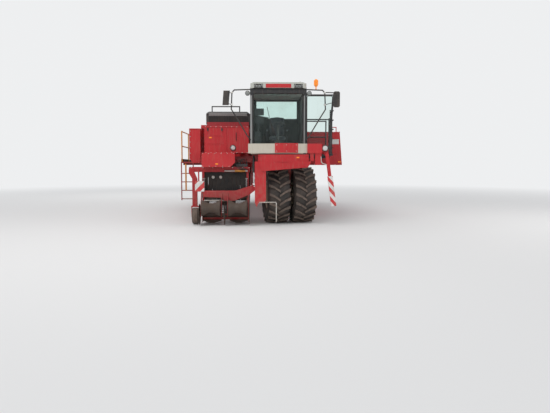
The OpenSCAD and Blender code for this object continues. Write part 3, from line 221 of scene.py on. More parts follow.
@dataclass(frozen=True)
class Paint:
    """Sprayed sheet metal that has faded a little and picked up soil from below."""

    name: str
    colour: Colour
    faded: Colour
    roughness: float = 0.36
    soil: float = 0.75
    soil_top: float = 1.7
    metallic: float = 0.0

    def make(self) -> bpy.types.Material:
        """Build the paint's nodes.

        Returns:
            The material.
        """
        s = Shading(self.name)
        patches = s.span(s.noise(0.9, 3.0), 0.35, 0.7)
        paint = s.mix(patches, self.colour, self.faded)
        streaks = s.span(s.noise(5.0, 6.0, (6.0, 6.0, 0.7)), 0.52, 0.75)
        dust = s.math("MULTIPLY", streaks, 0.22)
        paint = s.mix(dust, paint, SOIL)
        low = s.span(s.height(), self.soil_top, self.soil_top - 1.5)
        spots = s.span(s.noise(9.0, 9.0), 0.36, 0.62)
        dirt = s.math("MULTIPLY", s.math("MULTIPLY", low, spots), self.soil)
        chips = s.span(s.noise(42.0, 3.0), 0.70, 0.72)
        paint = s.mix(s.math("MULTIPLY", chips, 0.35), paint, PRIMER)
        s.set(Base_Color=s.mix(dirt, paint, SOIL), Metallic=self.metallic, Specular_IOR_Level=0.5)
        rough = s.math("ADD", s.math("MULTIPLY", dirt, 0.45), s.math("MULTIPLY", patches, 0.1))
        s.set(Roughness=s.math("ADD", rough, self.roughness))
        peel = s.math("ADD", s.noise(160.0, 2.0), s.math("MULTIPLY", dirt, 2.5))
        s.bump(peel, 0.18, 0.002)
        return s.material


@dataclass(frozen=True)
class Rubber:
    """Tyre rubber that is clean on the walls and caked with soil towards the tread."""

    name: str
    centre: Point
    axis: Point
    radius: float
    colour: Colour = (0.030, 0.029, 0.029)
    wet_soil: Colour = (0.17, 0.118, 0.092)
    dry_soil: Colour = (0.31, 0.238, 0.190)

    def make(self) -> bpy.types.Material:
        """Build the rubber's nodes.

        Returns:
            The material.
        """
        s = Shading(self.name)
        arm = s.vector("SUBTRACT", s.place, self.centre)
        across = s.vector("CROSS_PRODUCT", arm, self.axis)
        out = s.vector("LENGTH", across, result=1)
        tread = s.span(out, 0.955 * self.radius, 0.985 * self.radius)
        crust = s.span(s.noise(11.0, 9.0), 0.30, 0.68)
        film = s.span(s.noise(3.0, 5.0), 0.30, 0.75)
        caked = s.math("MULTIPLY", tread, s.math("ADD", s.math("MULTIPLY", crust, 0.40), 0.42))
        cover = s.math("MAXIMUM", caked, s.math("MULTIPLY", film, 0.36))
        soil = s.mix(s.noise(24.0, 6.0), self.wet_soil, self.dry_soil)
        s.set(Base_Color=s.mix(cover, self.colour, soil), Specular_IOR_Level=0.35)
        s.set(Roughness=s.math("ADD", s.math("MULTIPLY", cover, 0.35), 0.58))
        lumps = s.math("MULTIPLY", crust, s.math("MULTIPLY", caked, 3.0))
        s.bump(s.math("ADD", lumps, s.noise(260.0, 2.0)), 0.45, 0.004)
        return s.material


@dataclass(frozen=True)
class Metal:
    """Bare steel, from bright and drawn to brown and earthy."""

    name: str
    colour: Colour
    stain: Colour
    roughness: float = 0.35
    stained: float = 0.4
    grain: Point = (1, 1, 14)

    def make(self) -> bpy.types.Material:
        """Build the steel's nodes.

        Returns:
            The material.
        """
        s = Shading(self.name)
        marks = s.span(s.noise(7.0, 8.0), 0.62 - 0.4 * self.stained, 0.78)
        lines = s.noise(38.0, 3.0, self.grain)
        cover = s.math("MULTIPLY", marks, min(1.0, 0.5 + self.stained))
        s.set(Base_Color=s.mix(cover, self.colour, self.stain))
        s.set(Metallic=s.math("SUBTRACT", 0.92, s.math("MULTIPLY", cover, 0.8)))
        rough = s.math("ADD", s.math("MULTIPLY", cover, 0.35), s.math("MULTIPLY", lines, 0.18))
        s.set(Roughness=s.math("ADD", rough, self.roughness))
        s.bump(s.math("ADD", lines, s.math("MULTIPLY", cover, 1.5)), 0.2, 0.002)
        return s.material


@dataclass(frozen=True)
class Plastic:
    """Moulded plastic or rubber trim with a fine grain and a film of dust."""

    name: str
    colour: Colour
    roughness: float = 0.5
    dust: float = 0.25
    glow: float = 0.0

    def make(self) -> bpy.types.Material:
        """Build the plastic's nodes.

        Returns:
            The material.
        """
        s = Shading(self.name)
        film = s.math("MULTIPLY", s.span(s.noise(4.0, 6.0), 0.4, 0.75), self.dust)
        s.set(Base_Color=s.mix(film, self.colour, SOIL))
        s.set(Roughness=s.math("ADD", s.math("MULTIPLY", film, 0.5), self.roughness))
        s.bump(s.noise(320.0, 2.0), 0.25, 0.001)
        # Emission in the plastic's own colour; on the reflectors, which have no lamp, it is a painted glow
        if self.glow:
            s.set(Emission_Color=self.colour, Emission_Strength=self.glow)
        return s.material


@dataclass(frozen=True)
class Pane:
    """Tinted glass with a little dust."""

    name: str
    colour: Colour
    roughness: float = 0.03
    dust: Colour = (0.5, 0.48, 0.44)

    def make(self) -> bpy.types.Material:
        """Build the glass's nodes.

        Returns:
            The material.
        """
        s = Shading(self.name)
        film = s.span(s.noise(2.2, 6.0), 0.45, 0.85)
        s.set(Base_Color=s.mix(s.math("MULTIPLY", film, 0.2), self.colour, self.dust))
        s.set(Roughness=s.math("ADD", s.math("MULTIPLY", film, 0.05), self.roughness))
        s.set(IOR=1.25, Transmission_Weight=1.0)
        return s.material


@dataclass(frozen=True)
class Stripes:
    """Board with slanting stripes in two colours."""

    name: str
    direction: Point
    pitch: float
    start: float = 0.0
    dark: Colour = (0.62, 0.035, 0.04)
    light: Colour = (0.80, 0.79, 0.76)

    def make(self) -> bpy.types.Material:
        """Build the stripes' nodes.

        Returns:
            The material.
        """
        s = Shading(self.name)
        way = Vector(self.direction).normalized()
        along = s.vector("DOT_PRODUCT", s.place, tuple(way), result=1)
        turns = s.math("ADD", s.math("DIVIDE", along, self.pitch), 100.0 + self.start)
        band = s.math("GREATER_THAN", s.math("FRACT", turns), 0.5)
        board = s.mix(band, self.light, self.dark)
        dirt = s.math("MULTIPLY", s.span(s.noise(8.0, 8.0), 0.40, 0.72), 0.35)
        s.set(Base_Color=s.mix(dirt, board, SOIL), Roughness=0.42)
        s.bump(s.noise(700.0, 1.0), 0.15, 0.0006)
        return s.material


@dataclass(frozen=True)
class Weave:
    """Woven seat cloth with a coarse rib."""

    name: str
    colour: Colour
    light: Colour
    pitch: float = 0.0045

    def make(self) -> bpy.types.Material:
        """Build the cloth's nodes.

        Returns:
            The material.
        """
        s = Shading(self.name)
        ribs = []
        for way in (TO_LEFT, (0, 0.7, 0.7)):
            run = s.vector("DOT_PRODUCT", s.place, way, result=1)
            ribs.append(s.math("SINE", s.math("MULTIPLY", run, 2 * math.pi / self.pitch)))
        weave = s.math("MULTIPLY", ribs[0], ribs[1])
        blend = s.span(s.math("ADD", weave, s.noise(30.0)), -0.6, 1.8)
        s.set(Base_Color=s.mix(blend, self.colour, self.light), Roughness=0.9, Sheen_Weight=0.35)
        s.bump(weave, 0.5, 0.0012)
        return s.material


# Every kind of finish, and the finishes in use

Finish = Paint | Rubber | Metal | Plastic | Pane | Stripes | Weave

RED = Paint("red_paint", (0.47, 0.006, 0.012), (0.56, 0.024, 0.028), 0.36, 0.35)
# Darker copy of the red paint on the frame, axle, steering yoke, picking table, side deck and belt mouth: a
# painted shade, with its soil as real dirt
SHADED_RED = Paint("dark_red_paint", (0.30, 0.010, 0.016), (0.38, 0.022, 0.03), 0.45, 0.9, 2.0)
DIGGER_RED = Paint("earthy_red_paint", (0.43, 0.008, 0.014), (0.36, 0.026, 0.028), 0.46, 0.55, 1.3)
ROOF_GREY = Paint("roof_paint", (0.47, 0.48, 0.43), (0.53, 0.53, 0.48), 0.4, 0.5)
CREAM = Paint("cream_paint", (0.56, 0.50, 0.41), (0.61, 0.56, 0.47), 0.34, 0.5)
RIM_CREAM = Paint("rim_paint", (0.60, 0.55, 0.45), (0.52, 0.46, 0.37), 0.5, 0.85, 2.0)
PILLAR_GREY = Paint("pillar_paint", (0.26, 0.265, 0.26), (0.32, 0.32, 0.31), 0.35, 0.5)
BLACK = Paint("black_paint", (0.018, 0.018, 0.020), (0.032, 0.031, 0.031), 0.38, 0.6)
DECK_BLACK = Paint("deck_paint", (0.030, 0.029, 0.029), (0.06, 0.055, 0.05), 0.6, 0.6, 2.2)
AMBER_PAINT = Paint("rail_paint", (0.62, 0.22, 0.02), (0.66, 0.30, 0.05), 0.4, 0.5)
PALE_PAINT = Paint("pale_paint", (0.62, 0.60, 0.56), (0.54, 0.51, 0.46), 0.45, 0.7)
STEEL = Metal("drawn_steel", (0.55, 0.55, 0.56), (0.28, 0.22, 0.17))
EARTHY = Metal("soil_worn_steel", (0.15, 0.125, 0.11), (0.105, 0.072, 0.052), 0.55, 1.2)
ZINC = Metal("zinc_bolts", (0.62, 0.61, 0.58), (0.36, 0.30, 0.24), 0.36, 0.5, (1, 1, 1))
CHROME = Metal("rod_chrome", (0.80, 0.80, 0.81), (0.45, 0.40, 0.34), 0.12, 0.1, (1, 1, 1))
SOOT = Metal("exhaust_steel", (0.30, 0.26, 0.23), (0.13, 0.09, 0.07), 0.55, 0.7)
TRIM = Plastic("black_trim", (0.018, 0.018, 0.019), 0.55)
CABIN = Plastic("cabin_plastic", (0.055, 0.056, 0.060), 0.6, 0.15)
LINING = Plastic("roof_lining", (0.34, 0.33, 0.31), 0.85, 0.1)
BELTING = Plastic("belt_rubber", (0.030, 0.029, 0.028), 0.75, 0.4)
CURTAIN = Plastic("curtain_rubber", (0.012, 0.011, 0.011), 0.7, 0.10)
WALL_RUBBER = Plastic("wall_rubber", (0.035, 0.034, 0.033), 0.65, 0.5)
# The amber lens glows: on the beacon this stands for its lamp, and on the reflectors, which have no lamp, it
# is a painted glow
AMBER = Plastic("amber_lens", (0.85, 0.26, 0.02), 0.22, 0.1, 0.25)
RED_LENS = Plastic("red_lens", (0.50, 0.010, 0.010), 0.2, 0.15, 0.1)
SCREEN = Plastic("screen_glass", (0.03, 0.05, 0.07), 0.1, 0.05, 0.6)
LENS = Plastic("lamp_lens", (0.66, 0.66, 0.64), 0.12, 0.12)
DARK_LENS = Plastic("dark_lens", (0.22, 0.235, 0.225), 0.10, 0.2)
BLANK = Plastic("blank_plate", (0.70, 0.69, 0.66), 0.4, 0.3)
GLASS = Pane("cab_glass", (0.80, 0.93, 0.90))
MIRROR = Metal("mirror_silver", (0.85, 0.87, 0.88), (0.6, 0.6, 0.58), 0.03, 0.0, (1, 1, 1))
CLOTH = Weave("seat_cloth", (0.035, 0.036, 0.042), (0.10, 0.10, 0.115))


class Finishes:
    """Keeps one material for each finish."""

    made: dict[str, bpy.types.Material] = {}

    @classmethod
    def of(cls, finish: Finish) -> bpy.types.Material:
        """Return a finish's material, which is made once.

        Args:
            finish: the finish.

        Returns:
            The material.
        """
        if finish.name not in cls.made:
            cls.made[finish.name] = finish.make()
        return cls.made[finish.name]


# Shapes


def rounded(points: Sequence[Point], radius: float, steps: int = 5) -> list[Vector]:
    """Round the corners of a path.

    Args:
        points: the path's corners.
        radius: how far from a corner the bend starts.
        steps: points for each bend.

    Returns:
        The path with its bends.
    """
    path = [Vector(p) for p in points]
    out = [path[0]]
    for before, corner, after in zip(path, path[1:], path[2:]):
        back = min(radius, 0.45 * (before - corner).length)
        ahead = min(radius, 0.45 * (after - corner).length)
        a = corner + (before - corner).normalized() * back
        b = corner + (after - corner).normalized() * ahead
        for i in range(steps + 1):
            t = i / steps
            out.append(a * (1 - t) ** 2 + corner * 2 * t * (1 - t) + b * t**2)
    out.append(path[-1])
    return out


def stand(at: Point, way: Point) -> Matrix:
    """Return the placement of a solid whose own Z goes a given way."""
    return Matrix.Translation(at) @ Vector(way).normalized().to_track_quat("Z", "Y").to_matrix().to_4x4()


class Shape:
    """Collects closed solids of one finish, and makes one object of them."""

    def __init__(self, turn: Matrix | None = None) -> None:
        """Start an empty shape.

        Args:
            turn: the matrix that places all its solids.
        """
        self.mesh = bmesh.new()
        self.turn = turn or Matrix.Identity(4)

    def _close(self, rings: Sequence[Sequence[Vector]], loop: bool = False) -> None:
        """Skin a row of rings of points, with end caps unless it is a loop.

        Args:
            rings: the rings, each with the same number of points.
            loop: join the last ring to the first.
        """
        rows = [[self.mesh.verts.new(self.turn @ Vector(p)) for p in ring] for ring in rings]
        pairs = list(zip(rows, rows[1:])) + ([(rows[-1], rows[0])] if loop else [])
        for a, b in pairs:
            for i in range(len(a)):
                j = (i + 1) % len(a)
                self.mesh.faces.new((a[i], a[j], b[j], b[i]))
        if not loop:
            self.mesh.faces.new(list(reversed(rows[0])))
            self.mesh.faces.new(rows[-1])

    def box(self, low: Point, high: Point, turn: Matrix | None = None) -> "Shape":
        """Add a box.

        Args:
            low: its lowest corner.
            high: its highest corner.
            turn: a turn about its centre.

        Returns:
            This shape.
        """
        a, b = Vector(low), Vector(high)
        size = Matrix.Diagonal((*(b - a), 1.0))
        place = Matrix.Translation((a + b) / 2) @ (turn or Matrix.Identity(4)) @ size
        bmesh.ops.create_cube(self.mesh, size=1.0, matrix=self.turn @ place)
        return self

    def prism(self, outline: Outline, low: float, high: float, axis: Axis = Axis.Y) -> "Shape":
        """Add a flat outline drawn out along an axis.

        Args:
            outline: its corners, in the plane across the axis.
            low: where the solid starts on the axis.
            high: where it ends.
            axis: the axis.

        Returns:
            This shape.
        """
        across, up, along = axis.value
        rings = []
        for depth in (low, high):
            ring = []
            for u, v in outline:
                corner = Vector()
                corner[across], corner[up], corner[along] = u, v, depth
                ring.append(corner)
            rings.append(ring)
        self._close(rings)
        return self

    def turned(self, outline: Outline, at: Point, way: Point, sides: int = 32) -> "Shape":
        """Add a turned solid.

        Args:
            outline: radius and place along the axis, from one end to the other.
            at: the axis's origin.
            way: the axis's direction.
            sides: faces round it.

        Returns:
            This shape.
        """
        place = stand(at, way)
        rings = []
        for radius, along in outline:
            wide = max(radius, LEAST_RADIUS)
            ring = []
            for i in range(sides):
                t = 2 * math.pi * i / sides
                ring.append(place @ Vector((wide * math.cos(t), wide * math.sin(t), along)))
            rings.append(ring)
        self._close(rings)
        return self

    def ring(self, radius: float, thick: float, at: Point, way: Point, sides: int = 40) -> "Shape":
        """Add a round ring.

        Args:
            radius: from its centre to the middle of its section.
            thick: radius of its section.
            at: its centre.
            way: its axis.
            sides: straight runs round it.

        Returns:
            This shape.
        """
        place = stand(at, way)
        path = []
        for i in range(sides):
            t = 2 * math.pi * i / sides
            path.append(place @ Vector((radius * math.cos(t), radius * math.sin(t), 0)))
        return self.tube(path, thick, 8, loop=True)

    def tube(self, points: Sequence[Point], radius: float, sides: int = 10, loop: bool = False) -> "Shape":
        """Add a round tube along a path.

        Args:
            points: the path.
            radius: the tube's radius.
            sides: faces round it.
            loop: join its end to its start.

        Returns:
            This shape.
        """
        path = [Vector(p) for p in points]
        count = len(path)
        side = None
        rings = []
        for i, p in enumerate(path):
            if loop:
                run = (path[(i + 1) % count] - path[i - 1]).normalized()
            else:
                run = (path[min(i + 1, count - 1)] - path[max(i - 1, 0)]).normalized()
            if side is None:
                side = run.orthogonal().normalized()
            side = (side - run * side.dot(run)).normalized()
            up = run.cross(side)
            turns = [2 * math.pi * k / sides for k in range(sides)]
            rings.append([p + radius * (side * math.cos(t) + up * math.sin(t)) for t in turns])
        self._close(rings, loop)
        return self

    def piece(self, name: str, finish: Finish, body: Body, slot: Slot, bevel: float = 0.0,
              smooth: bool = False, replaces: Iterable[str] = ()) -> bpy.types.Object:
        """Finish the shape as one piece that rides on a body.

        Args:
            name: the piece's name.
            finish: its finish.
            body: the body it rides on.
            slot: the record's material slot; it is not used.
            bevel: width of its rounded edges, in metres.
            smooth: shade curved faces smoothly.
            replaces: CAD nodes it stands for.

        Returns:
            The object.
        """
        bmesh.ops.recalc_face_normals(self.mesh, faces=self.mesh.faces)
        data = bpy.data.meshes.new(name)
        self.mesh.to_mesh(data)
        self.mesh.free()
        data.materials.append(Finishes.of(finish))
        obj = bpy.data.objects.new(name, data)
        bpy.context.collection.objects.link(obj)
        if smooth:
            data.shade_smooth()
            data.set_sharp_from_angle(angle=SHARP_FROM)
        if bevel:
            edge = obj.modifiers.new("edges", "BEVEL")
            edge.width = bevel
            edge.segments = 2
            edge.limit_method = "ANGLE"
            edge.angle_limit = ROUND_FROM
            edge.use_clamp_overlap = True
        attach(obj, body.value)
        for node in replaces:
            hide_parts(node)
        log.info("%s on %s", name, body.value)
        return obj


@dataclass
class StudRow:
    """Points, each with a facing and a run, where small shapes are set by Geometry Nodes."""

    name: str
    kind: Stud
    size: Point
    places: list[tuple[Point, Point, Point]] = field(default_factory=list)

    def at(self, point: Point, facing: Point, run: Point = UP) -> "StudRow":
        """Add one place."""
        self.places.append((point, facing, run))
        return self

    def line(self, start: Point, end: Point, count: int, facing: Point, run: Point = UP) -> "StudRow":
        """Add evenly spaced places along a line.

        Args:
            start: the first place.
            end: the last place.
            count: how many.
            facing: the direction of each shape's own Z.
            run: the direction of its own X.

        Returns:
            This row.
        """
        a, b = Vector(start), Vector(end)
        for i in range(count):
            self.at(tuple(a.lerp(b, i / max(1, count - 1))), facing, run)
        return self

    def circle(self, centre: Point, axis: Point, radius: float, count: int) -> "StudRow":
        """Add places round an axis, facing along it.

        Args:
            centre: the circle's centre.
            axis: its axis.
            radius: its radius.
            count: how many.

        Returns:
            This row.
        """
        aim = Vector(axis).normalized().to_track_quat("Z", "Y").to_matrix()
        for i in range(count):
            t = 2 * math.pi * i / count
            p = Vector(centre) + aim @ Vector((radius * math.cos(t), radius * math.sin(t), 0))
            self.at(tuple(p), tuple(Vector(axis).normalized()), tuple(aim @ Vector(TO_LEFT)))
        return self

    def _tree(self, material: bpy.types.Material) -> bpy.types.NodeTree:
        """Build the tree that sets one shape on each point.

        Args:
            material: the material of the shapes.

        Returns:
            The tree, whose input Size scales the shape along its three axes.
        """
        tree = bpy.data.node_groups.new(self.name + "_rows", "GeometryNodeTree")
        face = tree.interface
        face.new_socket("Geometry", in_out="INPUT", socket_type="NodeSocketGeometry")
        face.new_socket("Size", in_out="INPUT", socket_type="NodeSocketVector")
        face.new_socket("Geometry", in_out="OUTPUT", socket_type="NodeSocketGeometry")
        new, link = tree.nodes.new, tree.links.new
        start, end = new("NodeGroupInput"), new("NodeGroupOutput")
        if self.kind is Stud.BAR:
            shape = new("GeometryNodeMeshCube")
            shape.inputs["Size"].default_value = (2.0, 2.0, 2.0)
        else:
            shape = new("GeometryNodeMeshCylinder")
            shape.inputs["Vertices"].default_value = self.kind.value
            shape.inputs["Radius"].default_value = 1.0
            shape.inputs["Depth"].default_value = 2.0
        aims = []
        for axis, pivot, name in (("Z", "AUTO", "facing"), ("X", "Z", "run")):
            way = new("GeometryNodeInputNamedAttribute")
            way.data_type = "FLOAT_VECTOR"
            way.inputs["Name"].default_value = name
            aim = new("FunctionNodeAlignRotationToVector")
            aim.axis = axis
            aim.pivot_axis = pivot
            link(way.outputs["Attribute"], aim.inputs["Vector"])
            aims.append(aim)
        link(aims[0].outputs[0], aims[1].inputs["Rotation"])
        rows = new("GeometryNodeInstanceOnPoints")
        link(start.outputs["Geometry"], rows.inputs["Points"])
        link(shape.outputs["Mesh"], rows.inputs["Instance"])
        link(aims[1].outputs[0], rows.inputs["Rotation"])
        link(start.outputs["Size"], rows.inputs["Scale"])
        real, coat = new("GeometryNodeRealizeInstances"), new("GeometryNodeSetMaterial")
        coat.inputs["Material"].default_value = material
        link(rows.outputs[0], real.inputs[0])
        link(real.outputs[0], coat.inputs["Geometry"])
        link(coat.outputs[0], end.inputs["Geometry"])
        return tree

    def piece(self, finish: Finish, body: Body, slot: Slot) -> bpy.types.Object:
        """Set the shapes and finish them as one piece that rides on a body.

        Args:
            finish: the finish.
            body: the body it rides on.
            slot: the record's material slot; it is not used.

        Returns:
            The object.
        """
        data = bpy.data.meshes.new(self.name)
        data.from_pydata([p for p, _, _ in self.places], [], [])
        for index, name in ((1, "facing"), (2, "run")):
            layer = data.attributes.new(name, "FLOAT_VECTOR", "POINT")
            for i, place in enumerate(self.places):
                layer.data[i].vector = place[index]
        obj = bpy.data.objects.new(self.name, data)
        bpy.context.collection.objects.link(obj)
        tree = self._tree(Finishes.of(finish))
        maker = obj.modifiers.new("rows", "NODES")
        maker.node_group = tree
        for item in tree.interface.items_tree:
            if item.name == "Size":
                maker[item.identifier] = self.size
        real = bpy.data.meshes.new_from_object(obj.evaluated_get(bpy.context.evaluated_depsgraph_get()))
        obj.modifiers.clear()
        obj.data = real
        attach(obj, body.value)
        log.info("%s: %d set on %s", self.name, len(self.places), body.value)
        return obj


# Sub-assemblies


@dataclass
class Studio:
    """Camera at the photograph's place, floor and soft light."""

    place: Point = (0.145, -18.72, 1.62)
    yaw: float = 1.43
    pitch: float = 4.56
    focal: float = 520.0
    image_width: float = 550.0
    sensor: float = 36.0
    clip: float = 500.0
    reach: float = 120.0
    floor: Colour = (0.78, 0.77, 0.75)
    haze: tuple[float, float] = (7.0, 26.0)
    backdrop: Colour = (0.90, 0.91, 0.92)
    backdrop_light: float = 0.95
    sky: Colour = (0.93, 0.95, 1.0)
    sky_light: float = 0.62
    target: Point = (0.0, -0.5, 1.4)

    def build(self) -> None:
        """Set up the camera, the floor, the lamps and the world."""
        view = bpy.data.cameras.new("view")
        view.sensor_fit = "HORIZONTAL"
        view.sensor_width = self.sensor
        view.lens = self.sensor * self.focal / self.image_width
        view.clip_end = self.clip
        camera = bpy.data.objects.new("view", view)
        camera.location = self.place
        camera.rotation_euler = (math.radians(90.0 - self.pitch), 0.0, math.radians(-self.yaw))
        bpy.context.collection.objects.link(camera)
        bpy.context.scene.camera = camera
        bpy.context.scene.view_settings.view_transform = "Standard"
        self._floor()
        self._lamps()
        self._world()

    def _floor(self) -> None:
        """Lay a plain pale floor, which turns into the backdrop far out."""
        data = bpy.data.meshes.new("floor")
        r = self.reach
        data.from_pydata([(-r, -r, 0), (r, -r, 0), (r, r, 0), (-r, r, 0)], [], [(0, 1, 2, 3)])
        s = Shading("floor_coat")
        s.set(Base_Color=self.floor, Roughness=0.9)
        out = s.vector("LENGTH", s.place, result=1)
        glow = {"Color": (*self.backdrop, 1.0), "Strength": self.backdrop_light}
        haze = s.node("ShaderNodeEmission", glow).outputs[0]
        rays = s.node("ShaderNodeLightPath", {}).outputs
        seen = s.math("MAXIMUM", rays["Is Camera Ray"], rays["Is Glossy Ray"])
        seen = s.math("MAXIMUM", seen, rays["Is Transmission Ray"])
        far = s.math("MULTIPLY", s.span(out, *self.haze), seen)
        blend = s.node("ShaderNodeMixShader", {0: far, 1: s.shader.outputs[0], 2: haze})
        s.tree.links.new(blend.outputs[0], s.output.inputs["Surface"])
        data.materials.append(s.material)
        floor = bpy.data.objects.new("floor", data)
        bpy.context.collection.objects.link(floor)

    def _lamps(self) -> None:
        """Add a broad lamp above and before the machine, and weaker ones beside and behind it."""
        for name, place, size, power in (("sky_lamp", (-4.0, -11.0, 12.0), 10.0, 820.0),
                                         ("side_lamp", (11.0, -6.0, 6.0), 7.0, 230.0),
                                         ("back_lamp", (-6.0, 11.0, 9.0), 8.0, 360.0)):
            lamp = bpy.data.lights.new(name, "AREA")
            lamp.size = size
            lamp.energy = power
            obj = bpy.data.objects.new(name, lamp)
            obj.location = place
            aim = Vector(self.target) - Vector(place)
            obj.rotation_euler = aim.to_track_quat("-Z", "Y").to_euler()
            bpy.context.collection.objects.link(obj)

    def _world(self) -> None:
        """Light all round evenly, with a pale sky where the camera or a reflection looks."""
        world = bpy.data.worlds.new("sky")
        bpy.context.scene.world = world
        world.use_nodes = True
        tree = world.node_tree
        tree.nodes.clear()
        new, link = tree.nodes.new, tree.links.new
        paths = new("ShaderNodeLightPath")
        seen = paths.outputs["Is Camera Ray"]
        for ray in ("Is Glossy Ray", "Is Transmission Ray"):
            both = new("ShaderNodeMath")
            both.operation = "MAXIMUM"
            link(seen, both.inputs[0])
            link(paths.outputs[ray], both.inputs[1])
            seen = both.outputs[0]
        skies = []
        for colour, strength in ((self.sky, self.sky_light), (self.backdrop, self.backdrop_light)):
            sky = new("ShaderNodeBackground")
            sky.inputs[0].default_value = (*colour, 1.0)
            sky.inputs[1].default_value = strength
            skies.append(sky)
        mix, out = new("ShaderNodeMixShader"), new("ShaderNodeOutputWorld")
        link(seen, mix.inputs[0])
        link(skies[0].outputs[0], mix.inputs[1])
        link(skies[1].outputs[0], mix.inputs[2])
        link(mix.outputs[0], out.inputs[0])


class NodeFinishes:
    """Gives each CAD node its finish."""

    table: dict[str, Finish] = {
        "chassis": SHADED_RED, "rear_axle": SHADED_RED, "steer_yoke": SHADED_RED,
        "cab_frame": BLACK, "cab_glass": GLASS, "cab_roof": ROOF_GREY, "controls": CABIN, "bumper": CREAM,
        "red_front_panels": RED, "fender": RED, "lamps": LENS, "mirrors": TRIM, "beacon": AMBER,
        "width_board": RED, "feeler_bar": PALE_PAINT, "cab_deck": BLACK, "front_housing": RED,
        "intake_cover": RED, "side_housing": RED, "fill_belt": BLACK, "picking_table": SHADED_RED,
        "side_deck": SHADED_RED, "deck_rails": AMBER_PAINT, "elevator": RED, "second_web": EARTHY,
        "channel_walls": DIGGER_RED, "engine_hood": RED, "engine": STEEL, "tanks": BLACK, "exhaust": SOOT,
        "front_rims": RIM_CREAM, "rear_rim_right": RIM_CREAM, "rear_rim_left": RIM_CREAM,
        "knuckle_right": STEEL, "knuckle_left": STEEL, "digger_frame": DIGGER_RED, "shares": EARTHY,
        "first_web": EARTHY, "intake_curtain": CURTAIN, "ridge_roller_outer": EARTHY,
        "ridge_roller_inner": EARTHY, "coulter_outer": EARTHY, "coulter_middle": EARTHY,
        "coulter_inner": EARTHY, "lift_barrel": BLACK, "lift_rod": CHROME, "bunker": RED,
        "bunker_end": RED, "tip_barrels": BLACK, "tip_rods": CHROME, "door_frame": BLACK,
        "door_glass": GLASS, "cab_ladder": BLACK,
        "front_tyres": Rubber("front_rubber", (0.89, -3.95, 0.78), FRONT_AXLE, 0.78),
        "rear_tyre_left": Rubber("rear_rubber", (0, 2.55, 0.93), TO_LEFT, 0.93),
        "rear_tyre_right": Rubber("rear_rubber", (0, 2.55, 0.93), TO_LEFT, 0.93),
        "depth_wheel": Rubber("small_rubber", (-1.67, -4.47, 0.232), TO_LEFT, 0.22),
    }

    def build(self) -> None:
        """Assign the finishes to the nodes' own material slots."""
        for name, finish in self.table.items():
            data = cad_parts[name].data
            material = Finishes.of(finish)
            if not data.materials:
                data.materials.append(material)
            for i in range(len(data.materials)):
                data.materials[i] = material
        log.info("%d nodes have their finish", len(self.table))


@dataclass
class SeatPad:
    """One crowned, sewn pad of the seat, blown up as cloth before its seams are pressed in."""

    name: str
    low: Point
    high: Point
    lean: float = 0.0
    inset: float = 0.004
    cuts: int = 9
    corner_pull: float = 0.10
    crown_fall: float = 0.42
    cloth_mesh: float = 0.006
    pressure: float = 4.0
    frames: int = 20
    most_swell: float = 0.008
    seam_place: float = 0.46
    seam_width: float = 0.009
    seam_depth: float = 0.006

    def make(self) -> bpy.types.Object:
        """Make the pad.

        Returns:
            The pad's object.
        """
        a, b = Vector(self.low), Vector(self.high)
        half = (b - a) / 2 - Vector((self.inset, self.inset, self.inset))
        thin = min(range(3), key=lambda i: half[i])
        pad = self._blank(half, thin)
        self._swell(pad)
        wide = min(i for i in range(3) if i != thin)
        for v in pad.data.vertices:
            off = (abs(v.co[wide]) / half[wide] - self.seam_place) * half[wide] / self.seam_width
            v.co[thin] -= self.seam_depth * math.exp(-off * off) * math.copysign(1.0, v.co[thin])
        turn = Matrix.Rotation(math.radians(self.lean), 4, "X")
        pad.data.transform(Matrix.Translation((a + b) / 2) @ turn)
        pad.data.shade_smooth()
        soft = pad.modifiers.new("soft", "SUBSURF")
        soft.levels = soft.render_levels = 1
        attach(pad, Body.MACHINE.value)
        log.info("%s on %s", self.name, Body.MACHINE.value)
        return pad

    def _blank(self, half: Vector, thin: int) -> bpy.types.Object:
        """Make the pad's plain crowned form, centred on the origin.

        Args:
            half: half its size along each axis.
            thin: the axis along which it is thinnest.

        Returns:
            The pad's object.
        """
        mesh = bmesh.new()
        bmesh.ops.create_cube(mesh, size=2.0)
        bmesh.ops.subdivide_edges(mesh, edges=mesh.edges, cuts=self.cuts, use_grid_fill=True)
        for v in mesh.verts:
            flat = [v.co[i] for i in range(3) if i != thin]
            edge = max(abs(flat[0]), abs(flat[1]))
            pull = 1.0 - self.corner_pull * abs(flat[0] * flat[1])
            crown = 1.0 - self.crown_fall * edge**4
            for i in range(3):
                v.co[i] *= (crown if i == thin else pull) * half[i]
        data = bpy.data.meshes.new(self.name)
        mesh.to_mesh(data)
        mesh.free()
        data.materials.append(Finishes.of(CLOTH))
        pad = bpy.data.objects.new(self.name, data)
        bpy.context.collection.objects.link(pad)
        return pad

    def _swell(self, pad: bpy.types.Object) -> None:
        """Blow up a pad's cover as cloth and keep the result.

        Args:
            pad: the pad, whose mesh is replaced.
        """
        fine = pad.modifiers.new("fine", "REMESH")
        fine.mode = "VOXEL"
        fine.voxel_size = self.cloth_mesh
        view = bpy.context.evaluated_depsgraph_get()
        start = bpy.data.meshes.new_from_object(pad.evaluated_get(view))
        pad.modifiers.clear()
        pad.data = start
        cover = pad.modifiers.new("cover", "CLOTH")
        cover.settings.use_pressure = True
        cover.settings.uniform_pressure_force = self.pressure
        cover.settings.effector_weights.gravity = 0.0
        for step in range(1, self.frames + 1):
            bpy.context.scene.frame_set(step)
        view = bpy.context.evaluated_depsgraph_get()
        blown = bpy.data.meshes.new_from_object(pad.evaluated_get(view))
        pad.modifiers.clear()
        for before, after in zip(start.vertices, blown.vertices):
            way = after.co - before.co
            if way.length > self.most_swell:
                way *= self.most_swell / way.length
            after.co = before.co + way
        pad.data = blown
        bpy.context.scene.frame_set(1)


